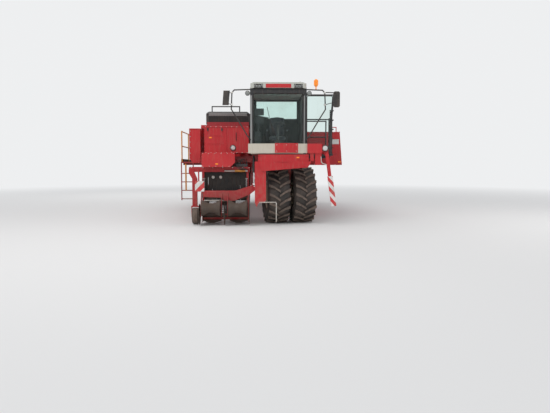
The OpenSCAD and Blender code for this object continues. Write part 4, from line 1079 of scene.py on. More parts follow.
@dataclass
class CabSizes:
    """Outer sizes of the cab, shared by all that is fitted to it."""

    x0: float = -0.162
    x1: float = 1.318
    y0: float = -4.97
    y1: float = -3.25
    floor: float = 1.91
    top: float = 3.61
    rake: float = 0.07


@dataclass
class Cab(CabSizes):
    """Fittings of the cab's shell: seals, wiper, roof, lamps and mirrors."""

    pane_low: float = 1.985
    pane_high: float = 3.515
    pane_back: float = -3.345
    strip_low: float = 2.0
    strip_high: float = 3.43
    roof_z: float = 3.738
    vent_count: int = 14
    vent_pitch: float = 0.068
    side_lamp_y: float = -4.98
    side_lamp_z: float = 3.485
    visor_lamp_z: float = 3.663
    mirror_front: float = -4.9365
    mirror_back: float = -4.931
    beacon: Point = (1.558, -4.9863, 3.7575)

    def front(self, z: float) -> float:
        """Return the windscreen's front face at a height."""
        share = (z - self.floor) / (self.top - self.floor)
        return self.y0 + self.rake + 0.02 + (0.004 - self.rake) * share

    def build(self) -> None:
        """Make every fitting of the cab's shell."""
        self._seals()
        self._wiper()
        self._roof()
        self._lamps()
        self._mirror_glass()

    def _seals(self) -> None:
        """Rubber seals round the panes."""
        seals = Shape()
        a, b = self.x0 + 0.09, self.x1 - 0.09
        low, high = self.floor + 0.072, self.top - 0.132
        y_low, y_high = self.front(low) - 0.004, self.front(high) - 0.004
        loop = rounded([(a, y_low, (low + high) / 2), (a, y_low, low), (b, y_low, low), (b, y_high, high),
                        (a, y_high, high), (a, y_low, (low + high) / 2 + 0.01)], 0.05)
        seals.tube(loop, 0.011, 8)
        low, high, back = self.pane_low, self.pane_high, self.pane_back
        for x, foot, head in ((self.x0 + 0.026, -4.79, -4.875), (self.x1 - 0.029, -3.955, -3.955)):
            side = [(x, foot, low), (x, back, low), (x, back, high), (x, head, high), (x, foot, low + 0.01)]
            seals.tube(rounded(side, 0.04), 0.010, 8)
        seals.piece("window_seals", TRIM, Body.MACHINE, Slot.BLACK_PAINT, smooth=True)

    def _wiper(self) -> None:
        """Long wiper with its motor cap and washer pipe."""
        wiper = Shape()
        foot = (0.66, self.front(2.03) - 0.012, 2.03)
        cap = [(0.03, -0.005), (0.03, 0.03), (0.018, 0.045)]
        wiper.turned(cap, (foot[0], foot[1] + 0.012, foot[2]), TO_FRONT, 20)
        tip = (0.36, self.front(2.78) - 0.035, 2.78)
        wiper.tube([foot, (0.50, self.front(2.40) - 0.05, 2.40), tip], 0.009, 8)
        low, high = (0.44, self.front(2.42) - 0.016, 2.42), (0.28, self.front(3.14) - 0.016, 3.14)
        wiper.tube([low, high], 0.007, 6)
        wiper.tube([(low[0], low[1] + 0.009, low[2]), (high[0], high[1] + 0.009, high[2])], 0.006, 6)
        wiper.piece("wiper", TRIM, Body.MACHINE, Slot.BLACK_PAINT, smooth=True)

    def _roof(self) -> None:
        """Visor lip, gutters, pillar strips, hatch, dome and rear vents of the roof."""
        gutters = Shape()
        low, high = self.top - 0.004, self.top + 0.004
        lip = [(self.y0 - 0.058, low), (self.y0 + 0.05, low), (self.y0 + 0.05, high), (self.y0 - 0.064, high)]
        gutters.prism(lip, self.x0 + 0.075, self.x1 - 0.075, Axis.X)
        for x in (self.x0 + 0.003, self.x1 - 0.011):
            gutters.box((x, self.y0 + 0.02, self.top + 0.015), (x + 0.008, self.y1, self.top + 0.03))
        gutters.piece("roof_gutters", TRIM, Body.MACHINE, Slot.BLACK_PAINT, bevel=0.002)
        strips = Shape()
        tall = self.top - self.floor
        z0, z1 = self.strip_low, self.strip_high
        low, high = (self.y0 + self.rake * (1 - (z - self.floor) / tall) for z in (z0, z1))
        outline = [(low + 0.001, z0), (low - 0.007, z0), (high - 0.007, z1), (high + 0.001, z1)]
        for left, right in ((self.x0 + 0.003, self.x0 + 0.048), (self.x1 - 0.070, self.x1 - 0.045)):
            strips.prism(outline, left, right, Axis.X)
        strips.piece("pillar_strips", PILLAR_GREY, Body.MACHINE, Slot.BLACK_PAINT, bevel=0.002)
        lid = Shape()
        a, b = self.x0, self.x1
        plan = [(a + 0.20, -4.60), (b - 0.20, -4.60), (b - 0.26, -3.55), (a + 0.26, -3.55)]
        lid.prism(plan, 3.772, 3.792, Axis.Z)
        lid.piece("roof_hatch", ROOF_GREY, Body.MACHINE, Slot.CREAM_PAINT, bevel=0.008)
        dome = Shape()
        cap = [(0.058, 0.0), (0.058, 0.03), (0.046, 0.085), (0.024, 0.112), (0.004, 0.12)]
        dome.turned(cap, (1.17, -4.55, self.roof_z), UP)
        dome.turned([(0.02, 0.0), (0.014, 0.07), (0.006, 0.075)], (1.17, -4.30, self.roof_z), UP, 16)
        dome.piece("roof_dome", PALE_PAINT, Body.MACHINE, Slot.CREAM_PAINT, smooth=True)
        vents = StudRow("roof_vents", Stud.BAR, (0.026, 0.005, 0.004))
        for i in range(self.vent_count):
            x = self.x0 + 0.30 + self.vent_pitch * i
            for z in (3.66, 3.69, 3.72):
                vents.at((x, self.y1 + 0.031, z), TO_REAR, TO_LEFT)
        vents.piece(TRIM, Body.MACHINE, Slot.BLACK_PAINT)

    def _lamps(self) -> None:
        """Rings and lenses of the round lamps and the visor's lamps, and the beacon's ribs."""
        rings = Shape()
        glass = Shape()
        dark = Shape()
        for x, y, z, r in ((1.807, -5.0, 2.06, 0.075), (-0.652, -4.29, 2.093, 0.070)):
            rings.ring(r, 0.010, (x, y - 0.010, z), TO_REAR, 36)
            rings.ring(0.62 * r, 0.003, (x, y - 0.019, z), TO_REAR, 28)
            lens = [(0.80 * r, 0.012), (0.72 * r, 0.021), (0.4 * r, 0.026), (0.05 * r, 0.028)]
            glass.turned(lens, (x, y, z), TO_FRONT, 28)
        for x in (-0.227, 1.383):
            spot = (x, self.side_lamp_y, self.side_lamp_z)
            case = [(0.064, -0.030), (0.064, 0.014), (0.056, 0.019), (0.052, 0.0205)]
            rings.turned(case, spot, TO_FRONT, 30)
            lens = [(0.053, 0.0205), (0.042, 0.025), (0.02, 0.028), (0.003, 0.0285)]
            dark.turned(lens, spot, TO_FRONT, 28)
        for side in (-1, 1):
            x, z = 0.578 + side * 0.52, self.visor_lamp_z
            corners = ((-0.088, -0.046), (0.088, -0.046), (0.066, 0.042), (-0.066, 0.042))
            edge = [(x + dx, -5.022, z + dz) for dx, dz in corners]
            rings.tube(rounded([*edge, edge[0]], 0.012), 0.012, 8)
            face = [(x - 0.080, 3.623), (x + 0.080, 3.623), (x + 0.060, 3.700), (x - 0.060, 3.700)]
            dark.prism(face, -5.0275, -5.024)
            for dx in (-0.040, 0.040):
                rings.ring(0.031, 0.004, (x + dx, -5.028, z), TO_REAR, 26)
                lens = [(0.029, 0.0), (0.022, 0.006), (0.003, 0.008)]
                dark.turned(lens, (x + dx, -5.027, z), TO_FRONT, 22)
        dark.piece("dark_lenses", DARK_LENS, Body.MACHINE, Slot.LAMP_LENS, smooth=True)
        rings.piece("lamp_rings", TRIM, Body.MACHINE, Slot.LAMP_LENS, smooth=True)
        glass.piece("lamp_glasses", LENS, Body.MACHINE, Slot.LAMP_LENS, smooth=True)
        ribs = StudRow("beacon_ribs", Stud.RIVET, (0.0025, 0.0025, 0.055))
        ribs.circle(self.beacon, UP, 0.0545, 26)
        for i, place in enumerate(ribs.places):
            ribs.places[i] = (place[0], UP, TO_LEFT)
        ribs.piece(AMBER, Body.MACHINE, Slot.AMBER_PLASTIC)

    def _mirror_glass(self) -> None:
        """Silvered faces behind the mirror shells, and clamps on their tubes."""
        glass = Shape()
        left = [(2.045, 3.16), (2.165, 3.16), (2.175, 3.17), (2.175, 3.51),
                (2.165, 3.52), (2.045, 3.52), (2.035, 3.51), (2.035, 3.17)]
        right = [(-0.865, 3.20), (-0.735, 3.20), (-0.705, 3.53), (-0.835, 3.53)]
        for outline in (left, right):
            glass.prism(outline, self.mirror_front, self.mirror_back)
        glass.piece("mirror_faces", MIRROR, Body.MACHINE, Slot.BLACK_PAINT, bevel=0.002)
        clamps = Shape()
        for x, z in ((1.788, 3.50), (1.79, 3.19), (-0.632, 3.50), (-0.634, 3.19)):
            clamps.box((x - 0.024, -5.012, z - 0.02), (x + 0.024, -4.962, z + 0.02))
        clamps.piece("mirror_clamps", ZINC, Body.MACHINE, Slot.BARE_STEEL, bevel=0.003)


@dataclass
class CabDoor(CabSizes):
    """Seals, pull bar, lock and hinge nuts of the door, which stands open at rest."""

    edge_x0: float = 1.359
    edge_x1: float = 2.159
    hinge_x: float = 1.372
    face_y: float = -4.099
    grip_y: float = -4.135

    def build(self) -> None:
        """Make every fitting of the door."""
        seals = Shape()
        z0, z1 = self.floor + 0.1, self.top - 0.03
        x0, x1 = self.edge_x0, self.edge_x1
        for y in (-4.066, -4.091):
            loop = [(x0 + 0.045, y, 2.4), (x0 + 0.045, y, z0 + 0.045), (x1 - 0.155, y, z0 + 0.045),
                    (x1 - 0.045, y, z1 - 0.045), (x0 + 0.045, y, z1 - 0.045), (x0 + 0.045, y, 2.41)]
            seals.tube(rounded(loop, 0.05), 0.008, 8)
        seals.piece("door_seals", TRIM, Body.DOOR, Slot.BLACK_PAINT, smooth=True)
        bar = Shape()
        x, face, out = self.hinge_x, self.face_y, self.grip_y
        grip = [(x, face, 2.42), (x, out, 2.42), (x, out, 3.02), (x, face, 3.02)]
        bar.tube(rounded(grip, 0.02), 0.010, 10)
        bar.box((2.005, -4.112, 2.66), (2.075, -4.094, 2.74))
        bar.box((2.012, -4.132, 2.685), (2.068, -4.112, 2.715))
        bar.piece("door_handles", BLACK, Body.DOOR, Slot.BLACK_PAINT, bevel=0.003, smooth=True)
        nuts = StudRow("hinge_nuts", Stud.BOLT, (0.008, 0.008, 0.004))
        for z in (2.29, 2.32, 3.31, 3.34):
            nuts.at((self.hinge_x, -4.0945, z), TO_FRONT)
        nuts.piece(ZINC, Body.DOOR, Slot.BARE_STEEL)


@dataclass
class CabInside(CabSizes):
    """What stands in the cab: lining, mat, pedals, screens, push buttons and the sprung seat."""

    mat_z: float = 1.982
    screens: tuple[float, float] = (2.75, 2.97)
    button_z: float = 2.529
    arms: tuple[tuple[str, float], ...] = (("armrest_right", 0.293), ("armrest_left", 0.863))
    back_lean: float = -9.0

    def build(self) -> None:
        """Make everything inside the cab."""
        self._inside()
        self._seat()

    def _inside(self) -> None:
        """Lining, mat, pedals, screens and push buttons of the cabin."""
        lining = Shape()
        lining.box((self.x0 + 0.085, self.y0 + 0.09, self.top - 0.10),
                   (self.x1 - 0.085, self.y1 - 0.085, self.top - 0.055))
        lining.box((0.30, self.y0 + 0.12, self.top - 0.16), (0.86, self.y0 + 0.24, self.top - 0.099))
        lining.piece("roof_lining", LINING, Body.MACHINE, Slot.SEAT_FABRIC, bevel=0.02)
        fittings = Shape()
        fittings.box((-0.07, -4.80, 1.9705), (1.22, -3.32, self.mat_z))
        lean = Matrix.Rotation(math.radians(24), 4, "X")
        for x in (0.40, 0.72, 0.84):
            fittings.box((x, -4.79, 2.06), (x + 0.075, -4.74, 2.19), lean)
            fittings.tube([(x + 0.037, -4.76, 2.11), (x + 0.037, -4.68, 1.985)], 0.010, 8)
        for z in self.screens:
            fittings.box((-0.055, -4.422, z - 0.006), (0.20, -4.407, z + 0.181))
        for i in range(5):
            spot = (0.022 * (i % 2), -4.05 + 0.05 * i, self.button_z)
            fittings.turned([(0.012, 0.0), (0.010, 0.014)], spot, UP, 12)
        fittings.piece("cabin_fittings", CABIN, Body.MACHINE, Slot.BLACK_PAINT, bevel=0.004)
        glass = Shape()
        for z in self.screens:
            glass.box((-0.04, -4.3605, z + 0.012), (0.185, -4.3565, z + 0.163))
        glass.piece("screens", SCREEN, Body.MACHINE, Slot.BLACK_PAINT, bevel=0.002)

    def _seat(self) -> None:
        """Sprung seat with cushion, back and armrests in place of the plain one."""
        cushion = SeatPad("seat_cushion", (0.335, -4.13, 2.31), (0.821, -3.66, 2.43), 3.0).make()
        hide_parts("seat")
        SeatPad("seat_back", (0.352, -3.74, 2.44), (0.804, -3.62, 3.00), self.back_lean).make()
        for name, x in self.arms:
            SeatPad(name, (x - 0.033, -4.06, 2.57), (x + 0.033, -3.70, 2.63)).make()
        base = Shape()
        base.box((0.37, -4.09, 2.275), (0.786, -3.70, 2.31))
        base.prism([(-4.06, 1.9825), (-3.73, 1.9825), (-3.76, 2.275), (-4.03, 2.275)], 0.42, 0.736, Axis.X)
        for _, x in self.arms:
            base.tube([(x, -3.70, 2.58), (x, -3.68, 2.30), (0.578, -3.72, 2.29)], 0.014, 8)
        turn = Matrix.Rotation(math.radians(self.back_lean), 4, "X")
        base.box((0.38, -3.625, 2.45), (0.776, -3.60, 2.96), turn)
        base.piece("seat_frame", CABIN, Body.MACHINE, Slot.SEAT_FABRIC, bevel=0.006)


@dataclass
class Bumper:
    """Bolts on the bumper and the reflector below it."""

    face_y: float = -5.0985
    bolt_x: tuple[float, ...] = (0.53, 0.786, 1.04)
    bolt_z: tuple[float, ...] = (1.985, 2.145)

    def build(self) -> None:
        """Make the fittings of the bumper."""
        bolts = StudRow("bumper_bolts", Stud.BOLT, (0.011, 0.011, 0.005))
        for x in self.bolt_x:
            for z in self.bolt_z:
                bolts.at((x, self.face_y, z), TO_FRONT)
        bolts.piece(ZINC, Body.MACHINE, Slot.BARE_STEEL)
        amber = Shape()
        amber.box((1.050, -5.0995, 1.800), (1.120, -5.0785, 1.832))
        amber.piece("hood_reflector", AMBER, Body.MACHINE, Slot.AMBER_PLASTIC, bevel=0.003)


@dataclass
class RunningGear:
    """Hub caps, nuts, wall rings and valves of the wheels."""

    front: Point = (0.89, -3.95, 0.78)
    twin_half: float = 0.365
    tyre_half: float = 0.3085
    rear_x: float = 1.3
    rear_y: float = 2.55
    rear_z: float = 0.93

    def build(self) -> None:
        """Make the fittings of all six wheels."""
        turn = Matrix.Translation(self.front) @ Matrix.Rotation(STEER, 4, "Z")
        walls = Shape(turn)
        hubs = Shape(turn)
        nuts = StudRow("front_nuts", Stud.BOLT, (0.013, 0.013, 0.010))
        for side in (-1, 1):
            middle = side * self.twin_half
            for face in (-1, 1):
                x = middle + face * self.tyre_half
                walls.ring(0.535, 0.006, (x - face * 0.002, 0, 0), TO_LEFT, 60)
                walls.ring(0.615, 0.008, (x - face * 0.004, 0, 0), TO_LEFT, 64)
            outer = middle + side * 0.14
            hubs.turned([(0.11, 0.0), (0.105, 0.035), (0.07, 0.07), (0.03, 0.082), (0.004, 0.084)],
                        (outer - side * 0.006, 0, 0), (side, 0, 0), 30)
            centre = turn @ Vector((middle + side * 0.0755, 0, 0))
            way = turn.to_3x3() @ Vector((side, 0, 0))
            nuts.circle(tuple(centre), tuple(way), 0.145, 10)
        walls.piece("front_wall_rings", WALL_RUBBER, Body.FRONT, Slot.TYRE_RUBBER, smooth=True)
        hubs.piece("front_hub_caps", RIM_CREAM, Body.FRONT, Slot.CREAM_PAINT, smooth=True)
        nuts.piece(ZINC, Body.FRONT, Slot.BARE_STEEL)
        for side, body, name in ((1, Body.REAR_LEFT, "left"), (-1, Body.REAR_RIGHT, "right")):
            self._rear(side, body, name)

    def _rear(self, side: int, body: Body, name: str) -> None:
        """Make the fittings of one rear wheel.

        Args:
            side: 1 for the left wheel and -1 for the right one.
            body: the wheel's body.
            name: the last part of its pieces' names.
        """
        x, y, z = side * self.rear_x, self.rear_y, self.rear_z
        walls = Shape()
        for face in (-1, 1):
            walls.ring(0.64, 0.008, (x + face * 0.3705, y, z), TO_LEFT, 64)
            walls.ring(0.75, 0.009, (x + face * 0.3665, y, z), TO_LEFT, 72)
        walls.piece(f"rear_wall_rings_{name}", WALL_RUBBER, body, Slot.TYRE_RUBBER, smooth=True)
        hub = Shape()
        hub.turned([(0.105, 0.0), (0.10, 0.05), (0.075, 0.085), (0.03, 0.10), (0.004, 0.102)],
                   (x + side * 0.079, y, z), (side, 0, 0), 32)
        hub.tube([(x + side * 0.05, y, z + 0.33), (x + side * 0.10, y, z + 0.335)], 0.006, 8)
        hub.piece(f"rear_hub_cap_{name}", RIM_CREAM, body, Slot.CREAM_PAINT, smooth=True)
        nuts = StudRow(f"rear_nuts_{name}", Stud.BOLT, (0.014, 0.014, 0.011))
        nuts.circle((x + side * 0.037, y, z), (side, 0, 0), 0.215, 12)
        nuts.piece(ZINC, body, Slot.BARE_STEEL)


@dataclass
class Digger:
    """Fittings of the digging unit: board, tubes, scrapers, springs, drive, bolts and hoses."""

    roller_x: tuple[float, float] = (-1.218, -0.502)
    roller_y: float = -4.80
    roller_z: float = 0.47
    roller_rim: float = 0.209
    roller_grips: int = 24
    rail_y: float = -4.425
    rail_z: float = 1.46
    spring_y: float = -4.47
    spring_turns: int = 9
    spring_points: int = 90
    tube_face: float = -4.4025
    valve_pitch: float = 0.05
    pipe_ends: tuple[float, ...] = (-0.475, -0.370, -0.265, -0.545, -0.510, -0.440)
    hose: float = 0.015
    hose_count: int = 5
    hose_points: int = 25

    def build(self) -> None:
        """Make every fitting of the digging unit."""
        self._board()
        self._tubes()
        self._drive()
        self._bolts()
        self._valves()
        self._hoses()

    def _board(self) -> None:
        """Square striped board at the outer front corner."""
        board = Shape()
        board.box((-1.662, -4.6585, 0.907), (-1.413, -4.6525, 1.185))
        stripes = Stripes("square_board_stripes", (1, 0, -1), 0.23, 0.467)
        board.piece("square_board", stripes, Body.DIGGER, Slot.RED_PAINT, bevel=0.001)

    def _tubes(self) -> None:
        """Pale tubes, round caps, scraper plates and springs round the curtain."""
        tubes = Shape()
        for z in (0.66, 0.80):
            tubes.tube([(-1.455, -4.62, z), (-0.71, -4.62, z)], 0.0195, 12)
        y, z = self.rail_y, self.rail_z
        for left, right in ((-0.884, -0.602), (-0.310, -0.252)):
            tubes.tube([(left, y, z), (right, y, z)], 0.0215, 14)
        for x in (-1.202, -0.994):
            cap = [(0.042, 0.0), (0.042, 0.02), (0.03, 0.03), (0.004, 0.032)]
            tubes.turned(cap, (x, -4.3105, 1.287), TO_FRONT, 24)
        tubes.piece("pale_tubes", PALE_PAINT, Body.DIGGER, Slot.CREAM_PAINT, smooth=True)
        orange = Shape()
        orange.tube([(-0.600, y, z), (-0.312, y, z)], 0.0315, 18)
        orange.piece("orange_cylinder", AMBER_PAINT, Body.DIGGER, Slot.ORANGE_PAINT, smooth=True)
        plates = Shape()
        for mid in self.roller_x:
            outline = [(mid - 0.26, 0.87), (mid + 0.26, 0.87), (mid + 0.26, 0.74),
                       (mid + 0.10, 0.70), (mid - 0.10, 0.70), (mid - 0.26, 0.74)]
            plates.prism(outline, -4.606, -4.600)
        plates.piece("scrapers", EARTHY, Body.DIGGER, Slot.WORN_STEEL, bevel=0.002)
        springs = Shape()
        y = self.spring_y
        for x in (-1.44, -0.28):
            coil = []
            for i in range(self.spring_points):
                t = i / (self.spring_points - 1)
                turn = 2 * math.pi * self.spring_turns * t
                coil.append((x + 0.030 * math.cos(turn), y + 0.030 * math.sin(turn), 0.86 + 0.37 * t))
            springs.tube(coil, 0.006, 6)
            springs.tube([(x, y, 0.82), (x, y, 1.262)], 0.010, 8)
            for low, high in ((1.245, 1.26), (0.83, 0.845)):
                springs.box((x - 0.035, -4.505, low), (x + 0.035, -4.399, high))
        springs.piece("depth_springs", STEEL, Body.DIGGER, Slot.BARE_STEEL, smooth=True)

    def _drive(self) -> None:
        """Motor and chain guard at the web's upper shaft."""
        motor = Shape()
        case = [(0.075, 0.0), (0.075, 0.09), (0.055, 0.10), (0.055, 0.17), (0.02, 0.175)]
        motor.turned(case, (-1.521, -1.40, 1.27), TO_RIGHT, 28)
        motor.piece("web_motor", BLACK, Body.DIGGER, Slot.BLACK_PAINT, smooth=True)
        guard = Shape()
        guard.prism([(-1.70, 1.13), (-1.46, 1.165), (-1.46, 1.395), (-1.70, 1.36)], -1.530, -1.5005, Axis.X)
        guard.piece("web_drive_guard", DIGGER_RED, Body.DIGGER, Slot.RED_PAINT, bevel=0.006)

    def _bolts(self) -> None:
        """Bolts along the side plates and on the cross tube, and grip ribs on the rollers' rims."""
        bolts = StudRow("digger_bolts", Stud.BOLT, (0.012, 0.012, 0.005))
        for x, face in ((-1.5005, -1), (-0.2195, 1)):
            bolts.line((x, -4.10, 0.30), (x, -1.70, 1.215), 15, (face, 0, 0))
        for x in (-1.83, -1.78, -1.47, -1.20, -0.93, -0.66, -0.39, -0.21):
            bolts.at((x, self.tube_face, 1.55), TO_FRONT)
        for x in (-1.46, -1.24):
            bolts.at((x, self.tube_face, 0.60), TO_FRONT)
        bolts.piece(ZINC, Body.DIGGER, Slot.BARE_STEEL)
        rollers = zip(("outer", "inner"), self.roller_x, (Body.ROLLER_OUTER, Body.ROLLER_INNER))
        for name, x, body in rollers:
            grips = StudRow(f"roller_ribs_{name}", Stud.BAR, (0.008, 0.011, 0.004))
            for i in range(self.roller_grips):
                t = 2 * math.pi * i / self.roller_grips
                out = Vector((0, math.cos(t), math.sin(t)))
                for end in (-0.2545, 0.2545):
                    spot = Vector((x + end, self.roller_y, self.roller_z)) + self.roller_rim * out
                    grips.at(tuple(spot), tuple(out), TO_LEFT)
            grips.piece(EARTHY, body, Slot.WORN_STEEL)

    def _valves(self) -> None:
        """Valve block on the cross tube, with bent pipes above it."""
        block = Shape()
        block.box((-0.56, -4.392, 1.5702), (-0.25, -4.305, 1.645))
        block.box((-0.565, -4.4075, 1.575), (-0.255, -4.391, 1.608))
        for i in range(len(self.pipe_ends)):
            nut = [(0.016, 0.0), (0.016, 0.014), (0.011, 0.022)]
            block.turned(nut, (-0.53 + self.valve_pitch * i, -4.35, 1.644), UP, 6)
        block.piece("valve_block", CABIN, Body.DIGGER, Slot.BLACK_PAINT, bevel=0.003)
        pipes = Shape()
        for i, end in enumerate(self.pipe_ends):
            x, high = -0.53 + self.valve_pitch * i, 1.70 + 0.018 * i
            y = -4.366 - 0.012 * i
            route = [(x, -4.35, 1.66), (x, -4.352, 1.69), (x, y, high), (end, y - 0.012, high - 0.01),
                     (end, -4.393 + 0.012 * (i % 2), 1.66), (end, -4.385 + 0.012 * (i % 2), 1.64)]
            pipes.tube(rounded(route, 0.045), 0.008, 8)
        pipes.piece("valve_pipes", TRIM, Body.DIGGER, Slot.BLACK_PAINT, smooth=True)

    def _hoses(self) -> None:
        """Hoses that hang in a bow between the valve block and the cross tube."""
        for i in range(self.hose_count):
            start, reach = -0.556 + 0.041 * i, 0.155 + 0.012 * i
            a, b = Vector((start, -4.4075, 1.591)), Vector((start + 0.165, -4.3995, 1.525))
            ahead = a + Vector((0, -reach, -0.02))
            back = b + Vector((0, -reach, -0.10))
            path = []
            for k in range(self.hose_points):
                t = k / (self.hose_points - 1)
                near = a * (1 - t) ** 3 + ahead * 3 * t * (1 - t) ** 2
                path.append(near + back * 3 * t**2 * (1 - t) + b * t**3)
            hose = Shape()
            hose.tube(path, self.hose / 2, 12)
            piece = hose.piece(f"digger_hose_{i + 1}", TRIM, Body.DIGGER, Slot.SHEET_RUBBER, smooth=True)


@dataclass
class Housings:
    """Seams, latches, reflectors and bolts of the red covers."""

    front_y: float = -4.28
    side_x: float = -1.6995
    step_y: float = -4.141

    def build(self) -> None:
        """Make every fitting of the covers."""
        self._ribs()
        self._bolts()
        self._marks()

    def _ribs(self) -> None:
        """Folded edges and pressed ribs."""
        ribs = Shape()
        y = self.front_y
        ribs.box((-1.438, y - 0.014, 2.655), (-0.217, y + 0.001, 2.68))
        ribs.box((-1.438, y - 0.014, 1.951), (-0.217, y + 0.001, 1.972))
        for x in (-1.438, -0.84, -0.235):
            ribs.box((x, y - 0.012, 1.972), (x + 0.018, y + 0.001, 2.655))
        for z in (2.20, 2.42):
            ribs.box((-1.36, y - 0.008, z), (-0.90, y + 0.001, z + 0.022))
        ribs.box((-1.869, -4.154, 2.612), (-1.561, self.step_y, 2.63))
        for x in (-1.869, -1.573):
            ribs.box((x, -4.154, 1.80), (x + 0.012, self.step_y, 2.612))
        for start in (-2.30, -1.70, -1.10, -0.50, 0.10, 0.70):
            ribs.box((-1.712, start, 2.02), (self.side_x, start + 0.06, 2.72))
        ribs.box((-1.716, -2.68, 2.742), (self.side_x, 1.86, 2.772))
        ribs.piece("cover_ribs", RED, Body.MACHINE, Slot.RED_PAINT, bevel=0.003)

    def _bolts(self) -> None:
        """Bolts round the covers, and latches on the front one."""
        bolts = StudRow("cover_bolts", Stud.BOLT, (0.010, 0.010, 0.004))
        y = self.front_y - 0.0145
        bolts.line((-1.40, y, 2.668), (-0.26, y, 2.668), 9, TO_FRONT)
        bolts.line((-1.40, y, 1.962), (-0.26, y, 1.962), 9, TO_FRONT)
        bolts.line((-1.45, -4.6625, 1.93), (-0.62, -4.6625, 1.93), 6, TO_FRONT)
        bolts.line((-1.45, -4.6625, 1.59), (-0.74, -4.6625, 1.59), 5, TO_FRONT)
        bolts.line((-1.7165, -2.6, 2.757), (-1.7165, 1.8, 2.757), 16, TO_RIGHT)
        bolts.line((-1.84, -4.1445, 1.95), (-1.84, -4.1445, 2.56), 5, TO_FRONT)
        bolts.piece(ZINC, Body.MACHINE, Slot.BARE_STEEL)
        latches = Shape()
        for x in (-1.34, -0.95):
            latches.box((x - 0.02, self.front_y - 0.03, 2.56), (x + 0.02, self.front_y + 0.001, 2.63))
            latches.box((x - 0.012, self.front_y - 0.042, 2.545), (x + 0.012, self.front_y - 0.028, 2.60))
        grip = [(-0.56, -4.281, 2.30), (-0.56, -4.33, 2.30), (-0.56, -4.33, 2.50), (-0.56, -4.281, 2.50)]
        latches.tube(rounded(grip, 0.02), 0.009, 8)
        latches.piece("cover_latches", BLACK, Body.MACHINE, Slot.BLACK_PAINT, bevel=0.003)

    def _marks(self) -> None:
        """Amber reflectors on the covers."""
        marks = Shape()
        marks.box((-1.305, self.front_y - 0.012, 2.355), (-1.235, self.front_y + 0.001, 2.388))
        marks.box((-1.106, -4.668, 1.632), (-1.036, -4.659, 1.664))
        marks.piece("cover_reflectors", AMBER, Body.MACHINE, Slot.AMBER_PLASTIC, bevel=0.003)


@dataclass
class Bunker:
    """Ribs, rims, bolts and plates of the bunker and its folding end."""

    y0: float = -2.558
    y1: float = 1.40
    top: float = 2.64
    slat_x: float = 0.435
    slat_z: float = 1.970
    slat_count: int = 17
    end_x0: float = 1.545

    def build(self) -> None:
        """Make every fitting of the bunker."""
        ribs = Shape()
        for y in (self.y0 - 0.004, self.y1 - 0.012):
            ribs.box((0.004, y, self.top - 0.03), (1.49, y + 0.016, self.top + 0.012))
        ribs.box((-0.006, self.y0, self.top - 0.03), (0.022, self.y1, self.top + 0.012))
        for y in (-2.2, -1.5, -0.8, -0.1, 0.6, 1.2):
            ribs.box((-0.007, y, 2.02), (0.003, y + 0.05, 2.60))
        for x in (0.35, 0.75, 1.15):
            ribs.box((x, self.y0 - 0.010, 2.0), (x + 0.045, self.y0 + 0.001, 2.60))
            ribs.box((x, self.y1 - 0.001, 2.0), (x + 0.045, self.y1 + 0.010, 2.60))
        ribs.piece("bunker_ribs", RED, Body.BUNKER, Slot.RED_PAINT, bevel=0.003)
        slats = StudRow("floor_slats", Stud.BAR, (0.27, 0.020, 0.009))
        x, z = self.slat_x, self.slat_z
        slats.line((x, self.y0 + 0.12, z), (x, self.y1 - 0.12, z), self.slat_count, UP, TO_LEFT)
        slats.piece(EARTHY, Body.BUNKER, Slot.WORN_STEEL)
        self._end()

    def _end(self) -> None:
        """Make the fittings of the folding end."""
        ribs = Shape()
        low, high = self.y0 - 0.042, self.y1 + 0.042
        for y, face in ((low, -1), (high, 1)):
            a, b = sorted((y + face * 0.012, y - face * 0.001))
            for right, z0, z1 in ((2.546, 2.612, 2.64), (2.618, 1.622, 1.65), (2.598, 1.962, 1.985),
                                  (1.575, 1.65, 2.612)):
                ribs.box((self.end_x0, a, z0), (right, b, z1))
        ribs.box((2.527, low, 2.622), (2.549, high, 2.648))
        ribs.piece("bunker_end_ribs", RED, Body.BUNKER_END, Slot.RED_PAINT, bevel=0.003)
        bolts = StudRow("bunker_end_bolts", Stud.BOLT, (0.011, 0.011, 0.005))
        for y, face in ((low - 0.0135, -1), (high + 0.0135, 1)):
            bolts.line((1.62, y, 1.636), (2.56, y, 1.636), 7, (0, face, 0))
            bolts.line((1.62, y, 2.626), (2.50, y, 2.626), 7, (0, face, 0))
        bolts.piece(ZINC, Body.BUNKER_END, Slot.BARE_STEEL)
        plate = Shape()
        plate.box((2.24, low - 0.006, 2.262), (2.52, low + 0.001, 2.412))
        plate.piece("blank_side_plate", BLANK, Body.BUNKER_END, Slot.CREAM_PAINT, bevel=0.003)
        amber = Shape()
        amber.box((2.50, low - 0.020, 1.70), (2.585, low - 0.0005, 1.735))
        amber.piece("bunker_reflector", AMBER, Body.BUNKER_END, Slot.AMBER_PLASTIC, bevel=0.003)


